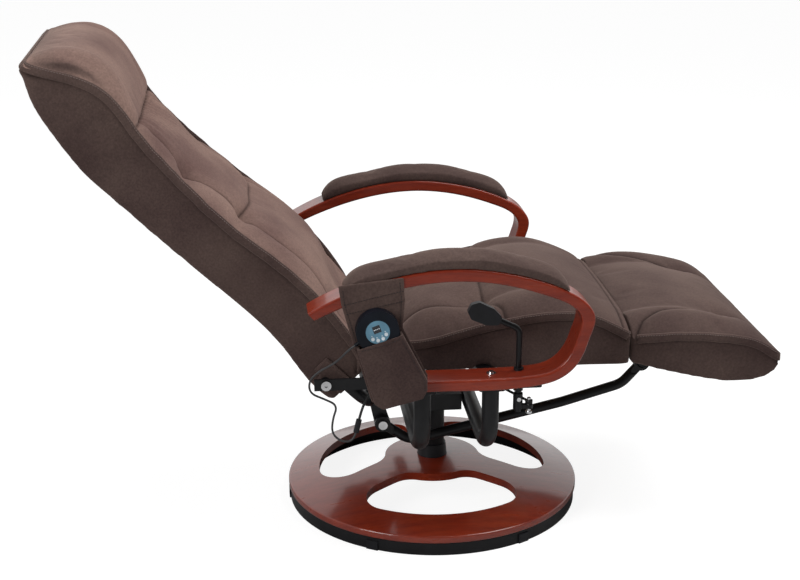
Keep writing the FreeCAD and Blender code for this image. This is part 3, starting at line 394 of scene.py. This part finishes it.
black_steel = make_coated("powder_coat", (0.006, 0.006, 0.007), 0.36, 900.0, 0.0002, Specular_IOR_Level=0.3)
black_plastic = make_coated("plastic", (0.008, 0.008, 0.010), 0.45, 1400.0, 0.0002, Specular_IOR_Level=0.3)
grey_plastic = make_coated("grey_motor_plastic", (0.2, 0.2, 0.2), 0.5, 800.0, 0.0002)
plain_steel = make_coated("zinc_steel", (0.5, 0.5, 0.51), 0.34, 500.0, 0.0001, Metallic=1.0)
chrome = make_coated("bright_plated_steel", (0.72, 0.72, 0.73), 0.14, 300.0, 0.00005, Metallic=1.0)
shell_blue = make_coated("shell_blue", (0.004, 0.006, 0.011), 0.3, 900.0, 0.0001, Specular_IOR_Level=0.2)
dial_blue = make_coated("dial_blue", (0.10, 0.235, 0.33), 0.34, 900.0, 0.00005, Coat_Weight=0.2)
display_dark = make_coated("display_glass", (0.010, 0.013, 0.018), 0.14, 300.0, 0.00002, Coat_Weight=0.4)
button_white = make_coated("button_white", (0.62, 0.68, 0.72), 0.4, 900.0, 0.00005)
icon_white = make_coated("icon_white", (0.7, 0.76, 0.8), 0.5, 900.0, 0.00005)
cord_grey = make_coated("handset_cord_sheath", (0.035, 0.035, 0.037), 0.5, 700.0, 0.0001)
cord_black = make_coated("lead_sheath", (0.012, 0.012, 0.012), 0.5, 700.0, 0.0001)

plywood = Finish("birch_plywood")
veneers = plywood.noise(1.0, 3.0, plywood.stretched((6, 12, 700)))
plywood.link(plywood.ramp(veneers, (0.35, (0.30, 0.19, 0.09)), (0.65, (0.52, 0.37, 0.21))), "Base Color")
plywood.set(Roughness=0.75)
print("steel, plastic and plywood")

# %% Each solid gets the finish of its slot
slot_looks = {
    "black_steel": black_steel, "black_plastic": black_plastic, "steel": plain_steel, "chrome": chrome,
    "brown_suede": suede, "plywood": plywood.material, "motor_plastic": grey_plastic,
    "handset_blue": shell_blue, "dial_blue": dial_blue, "display_dark": display_dark,
    "button_white": button_white, "grey_cord": cord_grey, "black_cord": cord_black, "mahogany": arm_wood,
}


def dress(piece, look):
    """One finish on a piece."""
    piece.data.materials.clear()
    piece.data.materials.append(look)


for subpart in frame["record"]["subparts"]:
    node = nodes[subpart["node"]]
    look = base_wood if subpart["node"] == "base_disc" else slot_looks[subpart["material_slot"]]
    node.data.materials.clear()
    node.data.materials.append(look)
print("finishes on", len(nodes), "solids")

# %% [markdown]
# ## Cords
# A thin cord leaves the handset, rounds the rear end of the hinge plate and hangs in a small loop to an
# inline plug. From the plug a lead goes up and under the seat to the control box.
# A smooth spline with the route's points as its handles hangs like a real cord, which straight runs don't.


# %% Handset cord, plug and lead
def hang_cord(name, route, diameter, look):
    data = bpy.data.curves.new(name, "CURVE")
    data.dimensions = "3D"
    data.bevel_depth = diameter / 2
    data.bevel_resolution = 3
    data.use_fill_caps = True
    data.resolution_u = 10
    line = data.splines.new("NURBS")
    line.points.add(len(route) - 1)
    for point, place in zip(line.points, route):
        point.co = (*[MM * value for value in place], 1)
    line.order_u = 3
    line.use_endpoint_u = True
    piece = bpy.data.objects.new(name, data)
    scene.collection.objects.link(piece)
    dress(piece, look)
    return piece


pivot_x = BACK_PIVOT.x / MM
pivot_z = BACK_PIVOT.z / MM
CORD_PLANE = -255
plug_low = (pivot_x + 56, CORD_PLANE, pivot_z - 102)
plug_high = (pivot_x + 62, CORD_PLANE, pivot_z - 77)
HANDSET_ROUTE = [
    (-186.78, -370.55, 464.90), (-198.38, -370.55, 457.06),
    (pivot_x + 22, -345, pivot_z + 81), (pivot_x + 6, -315, pivot_z + 57),
    (pivot_x - 12, -284, pivot_z + 36), (pivot_x - 32, -267, pivot_z + 10),
    (pivot_x - 30, CORD_PLANE, pivot_z - 20), (pivot_x - 4, CORD_PLANE, pivot_z - 32),
    (pivot_x + 22, CORD_PLANE, pivot_z - 46), (pivot_x + 12, CORD_PLANE, pivot_z - 74),
    (pivot_x + 10, CORD_PLANE, pivot_z - 104), (pivot_x + 30, CORD_PLANE, pivot_z - 122),
    (pivot_x + 51.8, CORD_PLANE, pivot_z - 119.5), plug_low,
]
BOX_UNDER = RAIL_Z / MM - 27
LEAD_ROUTE = [
    plug_high, (pivot_x + 67.13, CORD_PLANE, pivot_z - 55.61),
    (pivot_x + 82, CORD_PLANE + 18, pivot_z - 34), (pivot_x + 102, CORD_PLANE + 50, pivot_z - 20),
    (pivot_x + 122, CORD_PLANE + 95, BOX_UNDER + 3), (pivot_x + 136, CORD_PLANE + 147, BOX_UNDER + 5),
    (pivot_x + 144, CORD_PLANE + 201, BOX_UNDER + 4), (pivot_x + 148, CORD_PLANE + 255, BOX_UNDER + 5),
    (pivot_x + 158, CORD_PLANE + 308, BOX_UNDER + 4), (-56, 100, BOX_UNDER + 5), (-30, 100, BOX_UNDER + 5),
]
HANDSET_CORD_THICK = 0.004
LEAD_THICK = 0.005
handset_cord = hang_cord("handset_cord_line", HANDSET_ROUTE, HANDSET_CORD_THICK, cord_grey)
control_lead = hang_cord("control_lead_line", LEAD_ROUTE, LEAD_THICK, cord_black)
for piece, node in ((handset_cord, "handset_cord"), (control_lead, "control_lead")):
    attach(piece, "seat")
    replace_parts(piece, node)
print("two cords")

# %% [markdown]
# ## Cushions
# A cushion is foam under a cover that is sewn down along seams and pulled in at tufts.
# Each one starts as a copy of its plain solid, remeshed into an even skin.
# The seams and tufts are pressed into the skin and pinned, and a cloth simulation with air pressure
# swells the panels between them, as the foam does. The movement is capped, so the pad keeps its size.


# %% Helpers for cushions
def soft_copy(node, name, voxel, rounds=3):
    """Even skin over a copy of a solid."""
    piece = bpy.data.objects.new(name, nodes[node].data.copy())
    scene.collection.objects.link(piece)
    select_only(piece)
    bpy.ops.object.mode_set(mode="EDIT")
    bpy.ops.mesh.select_all(action="SELECT")
    bpy.ops.mesh.remove_doubles(threshold=0.00002)
    bpy.ops.object.mode_set(mode="OBJECT")
    skin = piece.modifiers.new("skin", "REMESH")
    skin.mode = "VOXEL"
    skin.voxel_size = voxel
    smooth = piece.modifiers.new("smooth", "SMOOTH")
    smooth.factor = 0.5
    smooth.iterations = rounds
    apply_all(piece)
    return piece


def line_distance(points, line):
    """Distance from each point to a chain of straight runs."""
    nearest = np.full(len(points), np.inf)
    for start, end in zip(line, line[1:]):
        run = end - start
        share = np.clip((points - start) @ run / (run @ run), 0, 1)
        nearest = np.minimum(nearest, np.linalg.norm(points - start - share[:, None] * run, axis=1))
    return nearest


def both_sides(line):
    return [line, [(along, -across) for along, across in line]]


SIDE_SLOPE = 0.25
SLOPE_SPAN = 0.35


class Crown:
    """Plan of a cushion's upper face: the direction up the cushion, the direction out of it and an origin.

    Points lower than lowest (mm), such as the walls of the room for the board,
    are not part of the upper face."""

    def __init__(self, along, out, origin, lowest):
        self.along = np.array(along)
        self.out = np.array(out)
        self.origin = np.array(origin)
        self.lowest = lowest * MM

    def plan(self, points):
        return np.stack([(points - self.origin) @ self.along, points[:, 1]], axis=1)

    def share(self, piece):
        """One on the upper face, falling to zero down the sides."""
        height = (read_points(piece) - self.origin) @ self.out
        slope = read_normals(piece) @ self.out
        return np.clip((slope - SIDE_SLOPE) / SLOPE_SPAN, 0, 1) * (height > self.lowest)


SEAM_HOLD = 0.004
TUFT_HOLD = 0.007


def sew(piece, crown, seams, tufts, start_drop, valleys=()):
    """Presses seams, tufts and valleys into the upper face and returns which points the thread holds.

    seams and valleys are (line, depth, width), tufts are (along, across, depth, width), in mm."""
    points = read_points(piece)
    plan = crown.plan(points)
    share = crown.share(piece)
    pull = start_drop * MM * share
    held = share < 0.5
    for line, depth, width in seams:
        distance = line_distance(plan, np.array(line, float) * MM)
        pull = pull + depth * MM * np.exp(-distance / (width * MM)) * share
        held = held | (distance < SEAM_HOLD)
    for u, y, depth, width in tufts:
        distance = np.linalg.norm(plan - MM * np.array((u, y)), axis=1)
        pull = pull + depth * MM * np.exp(-distance / (width * MM)) * share
        held = held | (distance < TUFT_HOLD)
    for line, depth, width in valleys:
        distance = line_distance(plan, np.array(line, float) * MM)
        pull = pull + depth * MM * np.exp(-(distance / (width * MM)) ** 2) * share
    write_points(piece, points - pull[:, None] * crown.out)
    return held


SWELL_FRAMES = 15


def swell(piece, held, pressure, slack, cap):
    """Cloth with air pressure between the held points, capped (mm) in its movement.
"""
    before = read_points(piece)
    group = piece.vertex_groups.new(name="held")
    group.add([int(i) for i in np.flatnonzero(held)], 1.0, "REPLACE")
    cloth = piece.modifiers.new("padding", "CLOTH")
    settings = cloth.settings
    settings.quality = 4
    settings.mass = 0.25
    settings.tension_stiffness = 12
    settings.compression_stiffness = 12
    settings.shear_stiffness = 6
    settings.bending_stiffness = 4
    settings.air_damping = 2
    settings.use_pressure = True
    settings.uniform_pressure_force = pressure
    settings.shrink_min = -slack
    settings.vertex_group_mass = "held"
    settings.effector_weights.gravity = 0
    cloth.collision_settings.use_collision = False
    for step in range(1, SWELL_FRAMES + 1):
        scene.frame_set(step)
    apply_all(piece)
    scene.frame_set(1)
    moved = read_points(piece) - before
    length = np.linalg.norm(moved, axis=1)
    share = np.minimum(1, cap * MM / np.maximum(length, 1e-9))
    write_points(piece, before + moved * share[:, None])
    piece.vertex_groups.clear()
    print(f"{piece.name}: moved {np.median(length[~held]) / MM:.1f} mm, at most {length.max() / MM:.1f} mm")


def finish_cushion(piece, node, body):
    """Smoothed and subdivided once, with suede, in the place of its plain solid."""
    relax = piece.modifiers.new("relax", "SMOOTH")
    relax.factor = 0.5
    relax.iterations = 2
    finer = piece.modifiers.new("finer", "SUBSURF")
    finer.levels = 1
    finer.render_levels = 1
    apply_all(piece)
    bpy.ops.object.shade_smooth()
    dress(piece, suede)
    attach(piece, body)
    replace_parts(piece, node)
    print(f"{piece.name}: {len(piece.data.polygons)} faces")


CREASE_WIDTH = 0.0028


def crease(piece, crown, seams, depth, painted_top_light):
    """Sharp narrow line along each seam of a finished cushion, and marks for the suede.

    Creases get painted shade in their colour, and the upper face gets painted light that makes it paler."""
    points = read_points(piece)
    plan = crown.plan(points)
    near = np.full(len(points), np.inf)
    for line, _, _ in seams:
        near = np.minimum(near, line_distance(plan, np.array(line, float) * MM))
    press = np.exp(-(near / CREASE_WIDTH) ** 2) * crown.share(piece)
    write_points(piece, points - (depth * MM * press)[:, None] * crown.out)
    # painted shade along the creases, painted light on the upper face
    for name, value in (("painted_seam_shade", press), ("painted_top_light", painted_top_light * crown.share(piece))):
        store = piece.data.attributes.new(name, "FLOAT", "POINT")
        store.data.foreach_set("value", value.astype(np.float32))


SMOOTH_MIDDLE = 0.012


def pucker(piece, crown, tufts, folds, reach, height):
    """Tension folds that run out from each tuft like the rays of a star, turned a little at each tuft."""
    points = read_points(piece)
    plan = crown.plan(points)
    lift = np.zeros(len(points))
    for u, y, _, _ in tufts:
        gap = plan - MM * np.array((u, y))
        radius = np.linalg.norm(gap, axis=1)
        turn = 0.02 * u + 0.01 * y
        rays = np.cos(folds * np.arctan2(gap[:, 1], gap[:, 0]) + turn)
        fade = np.exp(-radius / (reach * MM)) * (1 - np.exp(-radius / SMOOTH_MIDDLE))
        lift += height * MM * rays * fade
    write_points(piece, points + (lift * crown.share(piece))[:, None] * crown.out)


PLEAT_WANDER = 1.7
WANDER_LENGTH = 0.031
ABOVE_SEAM = 0.006
END_FADE = 0.03


def gather(piece, crown, line, half, pitch, reach, height):
    """Small pleats below a seam across the cushion, fading away from it."""
    points = read_points(piece)
    plan = crown.plan(points)
    below = line * MM - plan[:, 0]
    across = plan[:, 1]
    rows = np.sin(2 * np.pi * across / (pitch * MM) + PLEAT_WANDER * np.sin(across / WANDER_LENGTH))
    fade = np.where(below > 0, np.exp(-below / (reach * MM)), np.exp(below / ABOVE_SEAM))
    inside = np.clip((half * MM - np.abs(across)) / END_FADE, 0, 1)
    lift = height * MM * rows * fade * inside * crown.share(piece)
    write_points(piece, points + lift[:, None] * crown.out)


# %% [markdown]
# ### Welts
# Where the upper cover meets the side, its edge is folded into a flat flange with a row of top stitching,
# and a groove lies under it, darkened with painted shade. The flange follows the widest line of the cushion,
# which is found on the cushion's own mesh, so that it always lies on the cover.


# %% Helpers for welts and stitching
FEWEST_BINS = 60
SMOOTHING_ROUNDS = 6
WELT_STEP = 0.008


def edge_path(piece, crown, centre, start, end):
    """Line along the widest part of a cushion, between two angles seen from in front of its crown."""
    points = read_points(piece)
    plan = crown.plan(points) - np.array((centre * MM, 0))
    angle = np.degrees(np.arctan2(plan[:, 1], plan[:, 0]))
    radius = np.linalg.norm(plan, axis=1)
    bins = max(FEWEST_BINS, int(abs(end - start)))
    place = np.floor((angle - start) / (end - start) * bins).astype(int)
    line = []
    for index in range(bins):
        inside = np.flatnonzero(place == index)
        line.append(points[inside[np.argmax(radius[inside])]])
    line = np.array(line)
    for step in range(SMOOTHING_ROUNDS):
        line[1:-1] = (line[:-2] + 2 * line[1:-1] + line[2:]) / 4
    run = np.concatenate([[0], np.cumsum(np.linalg.norm(np.diff(line, axis=0), axis=1))])
    marks = np.linspace(0, run[-1], int(run[-1] / WELT_STEP))
    return np.stack([np.interp(marks, run, line[:, axis]) for axis in range(3)], axis=1)


def path_frame(path, out):
    """Directions away from the cushion and towards its crown at each point of a path."""
    heading = np.gradient(path, axis=0)
    heading /= np.linalg.norm(heading, axis=1)[:, None]
    rise = out - (heading @ out)[:, None] * heading
    rise /= np.linalg.norm(rise, axis=1)[:, None]
    away = np.cross(rise, heading)
    if np.sum(away[:, 1] * path[:, 1]) < 0:
        away = -away
    return away, rise


def groove(piece, line, depth, width):
    """Presses a narrow groove into a cushion along a line on its side, and darkens it with painted shade."""
    points = read_points(piece)
    near = line_distance(points, line)
    press = np.exp(-(near / (width * MM)) ** 2)
    write_points(piece, points - (depth * MM * press)[:, None] * read_normals(piece))
    # painted shade in the groove, kept with the creases' painted shade
    store = piece.data.attributes["painted_seam_shade"]
    painted_seam_shade = np.zeros(len(points), np.float32)
    store.data.foreach_get("value", painted_seam_shade)
    store.data.foreach_set("value", np.maximum(painted_seam_shade, press).astype(np.float32))


# Outline of the flange in mm: away from the cushion, and towards its crown
FLANGE = [(-2, 8.2), (1.0, 8.4), (2.6, 7.2), (3.3, 3.5), (3.5, -3), (3.4, -6.8), (2.2, -8.6), (-2, -8.2)]


def flange(name, path, out, body):
    """Flat rounded band along a path, made of a grid that is wrapped round the band's outline."""
    away, rise = path_frame(path, out)
    rows = [path + MM * (a * away + b * rise) for a, b in FLANGE + FLANGE[:1]]
    bpy.ops.object.select_all(action="DESELECT")
    bpy.ops.mesh.primitive_grid_add(x_subdivisions=len(path) - 1, y_subdivisions=len(FLANGE), size=1)
    piece = bpy.context.object
    piece.name = name
    write_points(piece, np.concatenate(rows))
    bpy.ops.object.mode_set(mode="EDIT")
    bpy.ops.mesh.select_all(action="SELECT")
    bpy.ops.mesh.remove_doubles(threshold=0.00001)
    bpy.ops.mesh.fill_holes(sides=0)
    bpy.ops.mesh.normals_make_consistent(inside=False)
    bpy.ops.object.mode_set(mode="OBJECT")
    bpy.ops.object.shade_smooth()
    dress(piece, suede)
    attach(piece, body)
    return piece


def stitch_row(name, line, body, look, pitch=5.0, length=3.4, thick=1.0):
    """Row of thread stitches along a line: one stitch repeated and led along a curve."""
    data = bpy.data.curves.new(name + "_line", "CURVE")
    data.dimensions = "3D"
    spline = data.splines.new("POLY")
    spline.points.add(len(line) - 1)
    for point, place in zip(spline.points, line):
        point.co = (*place, 1)
    guide = bpy.data.objects.new(name + "_line", data)
    scene.collection.objects.link(guide)
    bpy.ops.object.select_all(action="DESELECT")
    size = (length * MM, thick * MM, thick * MM)
    bpy.ops.mesh.primitive_cube_add(size=1, location=(size[0] / 2, 0, 0), scale=size)
    piece = bpy.context.object
    piece.name = name
    settle(piece)
    bpy.ops.object.mode_set(mode="EDIT")
    bpy.ops.mesh.select_all(action="SELECT")
    bpy.ops.mesh.bevel(offset=0.3 * thick * MM, segments=1, affect="EDGES")
    bpy.ops.object.mode_set(mode="OBJECT")
    row = piece.modifiers.new("row", "ARRAY")
    row.fit_type = "FIT_CURVE"
    row.curve = guide
    row.use_relative_offset = False
    row.use_constant_offset = True
    row.constant_offset_displace = (pitch * MM, 0, 0)
    led = piece.modifiers.new("led", "CURVE")
    led.object = guide
    led.deform_axis = "POS_X"
    apply_all(piece)
    bpy.data.objects.remove(guide)
    dress(piece, look)
    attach(piece, body)
    return piece


GROOVE_UNDER = 10.5
GROOVE_DEPTH = 3.0
GROOVE_WIDTH = 3.2
STITCH_OUT = 2.9
STITCH_RISE = 5.6


def add_welt(piece, crown, name, body, centre, start, end):
    """Groove, flange and top stitching along the widest line of a cushion."""
    path = edge_path(piece, crown, centre, start, end)
    away, rise = path_frame(path, crown.out)
    groove(piece, path - GROOVE_UNDER * MM * rise, GROOVE_DEPTH, GROOVE_WIDTH)
    flange(name + "_flange", path, crown.out, body)
    stitch_line = path + MM * (STITCH_OUT * away + STITCH_RISE * rise)
    stitch_row(name + "_stitching", stitch_line, body, pale_thread)
    print(f"{name}: {len(path)} steps")


# %% [markdown]
# ### Backrest
# Two lengthwise seams divide the back into a middle and two bolsters. They are pulled down at four tufts.
# A cross seam joins the lower pair, and a seam under the head roll gathers the cover below it.
# The middle is dished, the bolsters are low, and a valley crosses them at each tuft.
# The rear of the back is a separate padded panel, and the cover is drawn over the two steel lugs at its foot.
# Lines are given as (up the back, across) in mm, with a depth and a width beside each.

# %% Backrest cushion
SEAM_WIDTH = 9
PAD_VOXEL = 0.006
SEAM_CREASE = 2.2
FOLDS_PER_TUFT = 7
back_crown = Crown(UP_BACK, OUT_OF_BACK, BACK_PIVOT, lowest=34)
back_cushion = soft_copy("backrest_cushion", "backrest_padding", PAD_VOXEL)
lower_seam = [(316, -146), (306, -60), (306, 60), (316, 146)]
head_seam = [(572, -205), (568, 0), (572, 205)]
long_seam = [(25, 172), (110, 170), (210, 162), (270, 154), (313, 143), (445, 142), (510, 138), (566, 140)]
back_seams = [(lower_seam, 7, SEAM_WIDTH), (head_seam, 12, SEAM_WIDTH)]
for line in both_sides(long_seam):
    back_seams.append((line, 7, SEAM_WIDTH))
back_tufts = [(u, y, depth, 24) for u, depth in ((313, 22), (445, 26)) for y in (-143, 143)]
back_valleys = [([(60, 0), (535, 0)], 10, 85)]
for line in both_sides([(60, 210), (300, 208), (530, 178)]):
    back_valleys.append((line, 11, 32))
for line in both_sides([(313, 143), (314, 230)]) + both_sides([(445, 142), (447, 210)]):
    back_valleys.append((line, 7, 18))
held = sew(back_cushion, back_crown, back_seams, back_tufts, start_drop=7, valleys=back_valleys)
swell(back_cushion, held, pressure=2.5, slack=0.003, cap=7)
finish_cushion(back_cushion, "backrest_cushion", "backrest")
# painted light: the back's upper face is made much paler than the seat's and the footrest's
crease(back_cushion, back_crown, back_seams, SEAM_CREASE, painted_top_light=0.9)
pucker(back_cushion, back_crown, back_tufts, FOLDS_PER_TUFT, reach=26, height=1.8)
gather(back_cushion, back_crown, line=568, half=150, pitch=21, reach=40, height=2.8)
add_welt(back_cushion, back_crown, "backrest_welt", "backrest", centre=375, start=-160, end=160)

# %% Rear panel and the cover over the lugs
rear_panel = soft_copy("backrest_panel", "backrest_rear_cover", PAD_VOXEL)
finish_cushion(rear_panel, "backrest_panel", "backrest")

BOLT_ROOM = 0.009
BOLT_FADE = 0.004
COVER_THICKNESS = 0.0016
lug_cover = soft_copy("backrest_lugs", "lug_cover", voxel=0.002)
points = read_points(lug_cover)
from_pivot = np.linalg.norm((points - np.array(BACK_PIVOT))[:, [0, 2]], axis=1)
outside = np.clip((from_pivot - BOLT_ROOM) / BOLT_FADE, 0, 1)
write_points(lug_cover, points + (COVER_THICKNESS * outside)[:, None] * read_normals(lug_cover))
bpy.ops.object.shade_smooth()
dress(lug_cover, suede)
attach(lug_cover, "backrest")
print("rear panel and lug cover")

# %% [markdown]
# ### Seat and footrest
# The seat's two lengthwise seams run forward to a pair of tufts, which a cross seam joins. From there they
# swing outwards to the welt. The front of the seat is one plain roll that ends at a seam.
# On the footrest the seams start at the rear corners, sweep inwards in an arc
# and run forward past two tufts. Lines are given as (x, y) in mm.

# %% Seat cushion
X_AXIS = Vector((1, 0, 0))
Z_AXIS = Vector((0, 0, 1))
level_crown = Crown(X_AXIS, Z_AXIS, (0, 0, 0), lowest=0)
seat_cushion = soft_copy("seat_cushion", "seat_padding", PAD_VOXEL)
cross_seam = [(78, -160), (84, 0), (78, 160)]
front_seam = [(336, -236), (336, 236)]
seat_seams = [(cross_seam, 6, SEAM_WIDTH), (front_seam, 3, 5)]
for line in both_sides([(-110, 158), (72, 160), (92, 180), (106, 208), (110, 236)]):
    seat_seams.append((line, 6, SEAM_WIDTH))
seat_tufts = [(72, y, 16, 24) for y in (-160, 160)]
held = sew(seat_cushion, level_crown, seat_seams, seat_tufts, start_drop=6)
swell(seat_cushion, held, pressure=3.0, slack=0.003, cap=14)
finish_cushion(seat_cushion, "seat_cushion", "seat")
crease(seat_cushion, level_crown, seat_seams, SEAM_CREASE, painted_top_light=0.06)
pucker(seat_cushion, level_crown, seat_tufts, FOLDS_PER_TUFT, reach=26, height=1.6)
add_welt(seat_cushion, level_crown, "seat_welt_right", "seat", centre=90, start=-134, end=-44)
add_welt(seat_cushion, level_crown, "seat_welt_left", "seat", centre=90, start=44, end=134)

# %% Footrest cushion
foot_cushion = soft_copy("footrest_cushion", "footrest_padding", PAD_VOXEL)
foot_seams = []
for line in both_sides([(356, 246), (378, 214), (418, 186), (470, 168), (540, 152), (612, 150)]):
    foot_seams.append((line, 6, SEAM_WIDTH))
foot_tufts = [(545, y, 15, 22) for y in (-152, 152)]
held = sew(foot_cushion, level_crown, foot_seams, foot_tufts, start_drop=5)
swell(foot_cushion, held, pressure=3.0, slack=0.003, cap=14)
finish_cushion(foot_cushion, "footrest_cushion", "footrest")
crease(foot_cushion, level_crown, foot_seams, SEAM_CREASE, painted_top_light=0.0)
pucker(foot_cushion, level_crown, foot_tufts, FOLDS_PER_TUFT, reach=24, height=1.6)
add_welt(foot_cushion, level_crown, "footrest_welt", "footrest", centre=480, start=-116, end=116)

# %% Arm pads
right_pad = soft_copy("arm_pad_right", "arm_padding_right", voxel=0.004)
held = sew(right_pad, level_crown, seams=[], tufts=[], start_drop=2)
swell(right_pad, held, pressure=2.0, slack=0.004, cap=8)
finish_cushion(right_pad, "arm_pad_right", "seat")
left_pad = right_pad.copy()
left_pad.data = right_pad.data.copy()
left_pad.name = "arm_padding_left"
scene.collection.objects.link(left_pad)
left_points = read_points(left_pad)
left_points[:, 1] *= -1
write_points(left_pad, left_points)
left_pad.data.flip_normals()
del left_pad["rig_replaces"]
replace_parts(left_pad, "arm_pad_left")
print("two arm pads")

# %% [markdown]
# ## Pouch
# The pouch hangs from the arm: a flat panel of the same suede with a double-stitched band
# and stitched edges, and a pocket on it that holds the handset.
# Both are thin cloth, so they get a fine skin and no stuffing.

# %% Pouch panel and pocket
PANEL_FACE = -0.3605
CLOTH_VOXEL = 0.0013


def cloth_copy(node, name, voxel):
    """Thin cloth with soft edges over a copy of a solid."""
    piece = soft_copy(node, name, voxel, rounds=4)
    bpy.ops.object.shade_smooth()
    dress(piece, suede)
    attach(piece, "seat")
    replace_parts(piece, node)
    return piece


def on_panel(points, y):
    """Points as (x, height over the rail) in mm, on a plane across the chair."""
    return np.array([(x * MM, y, RAIL_Z + z * MM) for x, z in points])


pouch_panel = cloth_copy("pouch_panel", "pouch_back", CLOTH_VOXEL)
pouch_pocket = cloth_copy("pouch_pocket", "pouch_front", CLOTH_VOXEL)
POUCH_STITCHING = {
    "pouch_band_upper": [(-205, 178), (-158, 189), (-101, 201)],
    "pouch_band_lower": [(-201, 161), (-156, 171), (-101, 182)],
    "pouch_edge_left": [(-207, 206), (-204, 180), (-184, 108)],
    "pouch_edge_right": [(-106, 218), (-103, 187), (-105, 138)],
}
for name, line in POUCH_STITCHING.items():
    stitch_row(name, on_panel(line, PANEL_FACE), "seat", dark_thread)
POCKET_FACE = -0.3838
POCKET_STITCHING = {
    "pocket_mouth": [(-176, 99), (-141, 107), (-106, 120)],
    "pocket_edge_right": [(-104, 117), (-63, 37), (-63, 20)],
}
for name, line in POCKET_STITCHING.items():
    stitch_row(name, on_panel(line, POCKET_FACE), "seat", dark_thread)

# %% [markdown]
# ## Handset marks
# The dial has a small raised triangle over each button and a row of level bars on its display.
# Each mark is a flat outline that is extruded a quarter of a millimetre out of the face.


# %% Marks on the dial and the display
MARK_HEIGHT = 0.25


def middle(node):
    return Vector(read_points(nodes[node]).mean(axis=0))


def raised_mark(name, sides, centre, radius, turn, stretch):
    """Flat outline on the handset's face, extruded towards the viewer."""
    bpy.ops.object.select_all(action="DESELECT")
    bpy.ops.mesh.primitive_circle_add(
        vertices=sides, radius=radius * MM, fill_type="NGON", location=centre,
        rotation=(math.pi / 2, turn, 0), scale=(1, stretch, 1),
    )
    piece = bpy.context.object
    piece.name = name
    bpy.ops.object.mode_set(mode="EDIT")
    bpy.ops.mesh.select_all(action="SELECT")
    bpy.ops.mesh.extrude_region_move(TRANSFORM_OT_translate={"value": (0, -MARK_HEIGHT * MM, 0)})
    bpy.ops.mesh.select_all(action="SELECT")
    bpy.ops.mesh.normals_make_consistent(inside=False)
    bpy.ops.object.mode_set(mode="OBJECT")
    settle(piece)
    dress(piece, icon_white)
    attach(piece, "seat")


dial_face = read_points(nodes["handset_dial"])[:, 1].min()
display_at = middle("handset_display")
buttons = [middle(f"handset_button_{index}") for index in range(1, 5)]
row_middle = (buttons[0] + buttons[3]) / 2
upright = Vector((display_at.x - row_middle.x, 0, display_at.z - row_middle.z)).normalized()
lean = math.atan2(-upright.x, upright.z)
sideways = Vector((upright.z, 0, -upright.x))
MARK_OVER_BUTTON = 5.6
TRIANGLE_RADIUS = 1.5
BAR_RADIUS = 1.2
BAR_HEIGHTS = (0.6, 1.0, 1.4, 1.8)
BAR_PITCH = 3.0
FIRST_BAR = -4.5
for index, button in enumerate(buttons):
    place = button + MARK_OVER_BUTTON * MM * upright
    centre = (place.x, dial_face, place.z)
    raised_mark(f"button_mark_{index + 1}", 3, centre, TRIANGLE_RADIUS, -lean, 1)
for index, height in enumerate(BAR_HEIGHTS):
    place = display_at + (FIRST_BAR + BAR_PITCH * index) * MM * sideways
    centre = (place.x, dial_face, place.z)
    raised_mark(f"level_bar_{index + 1}", 4, centre, BAR_RADIUS, -lean, height)
print("4 triangles and 4 bars")
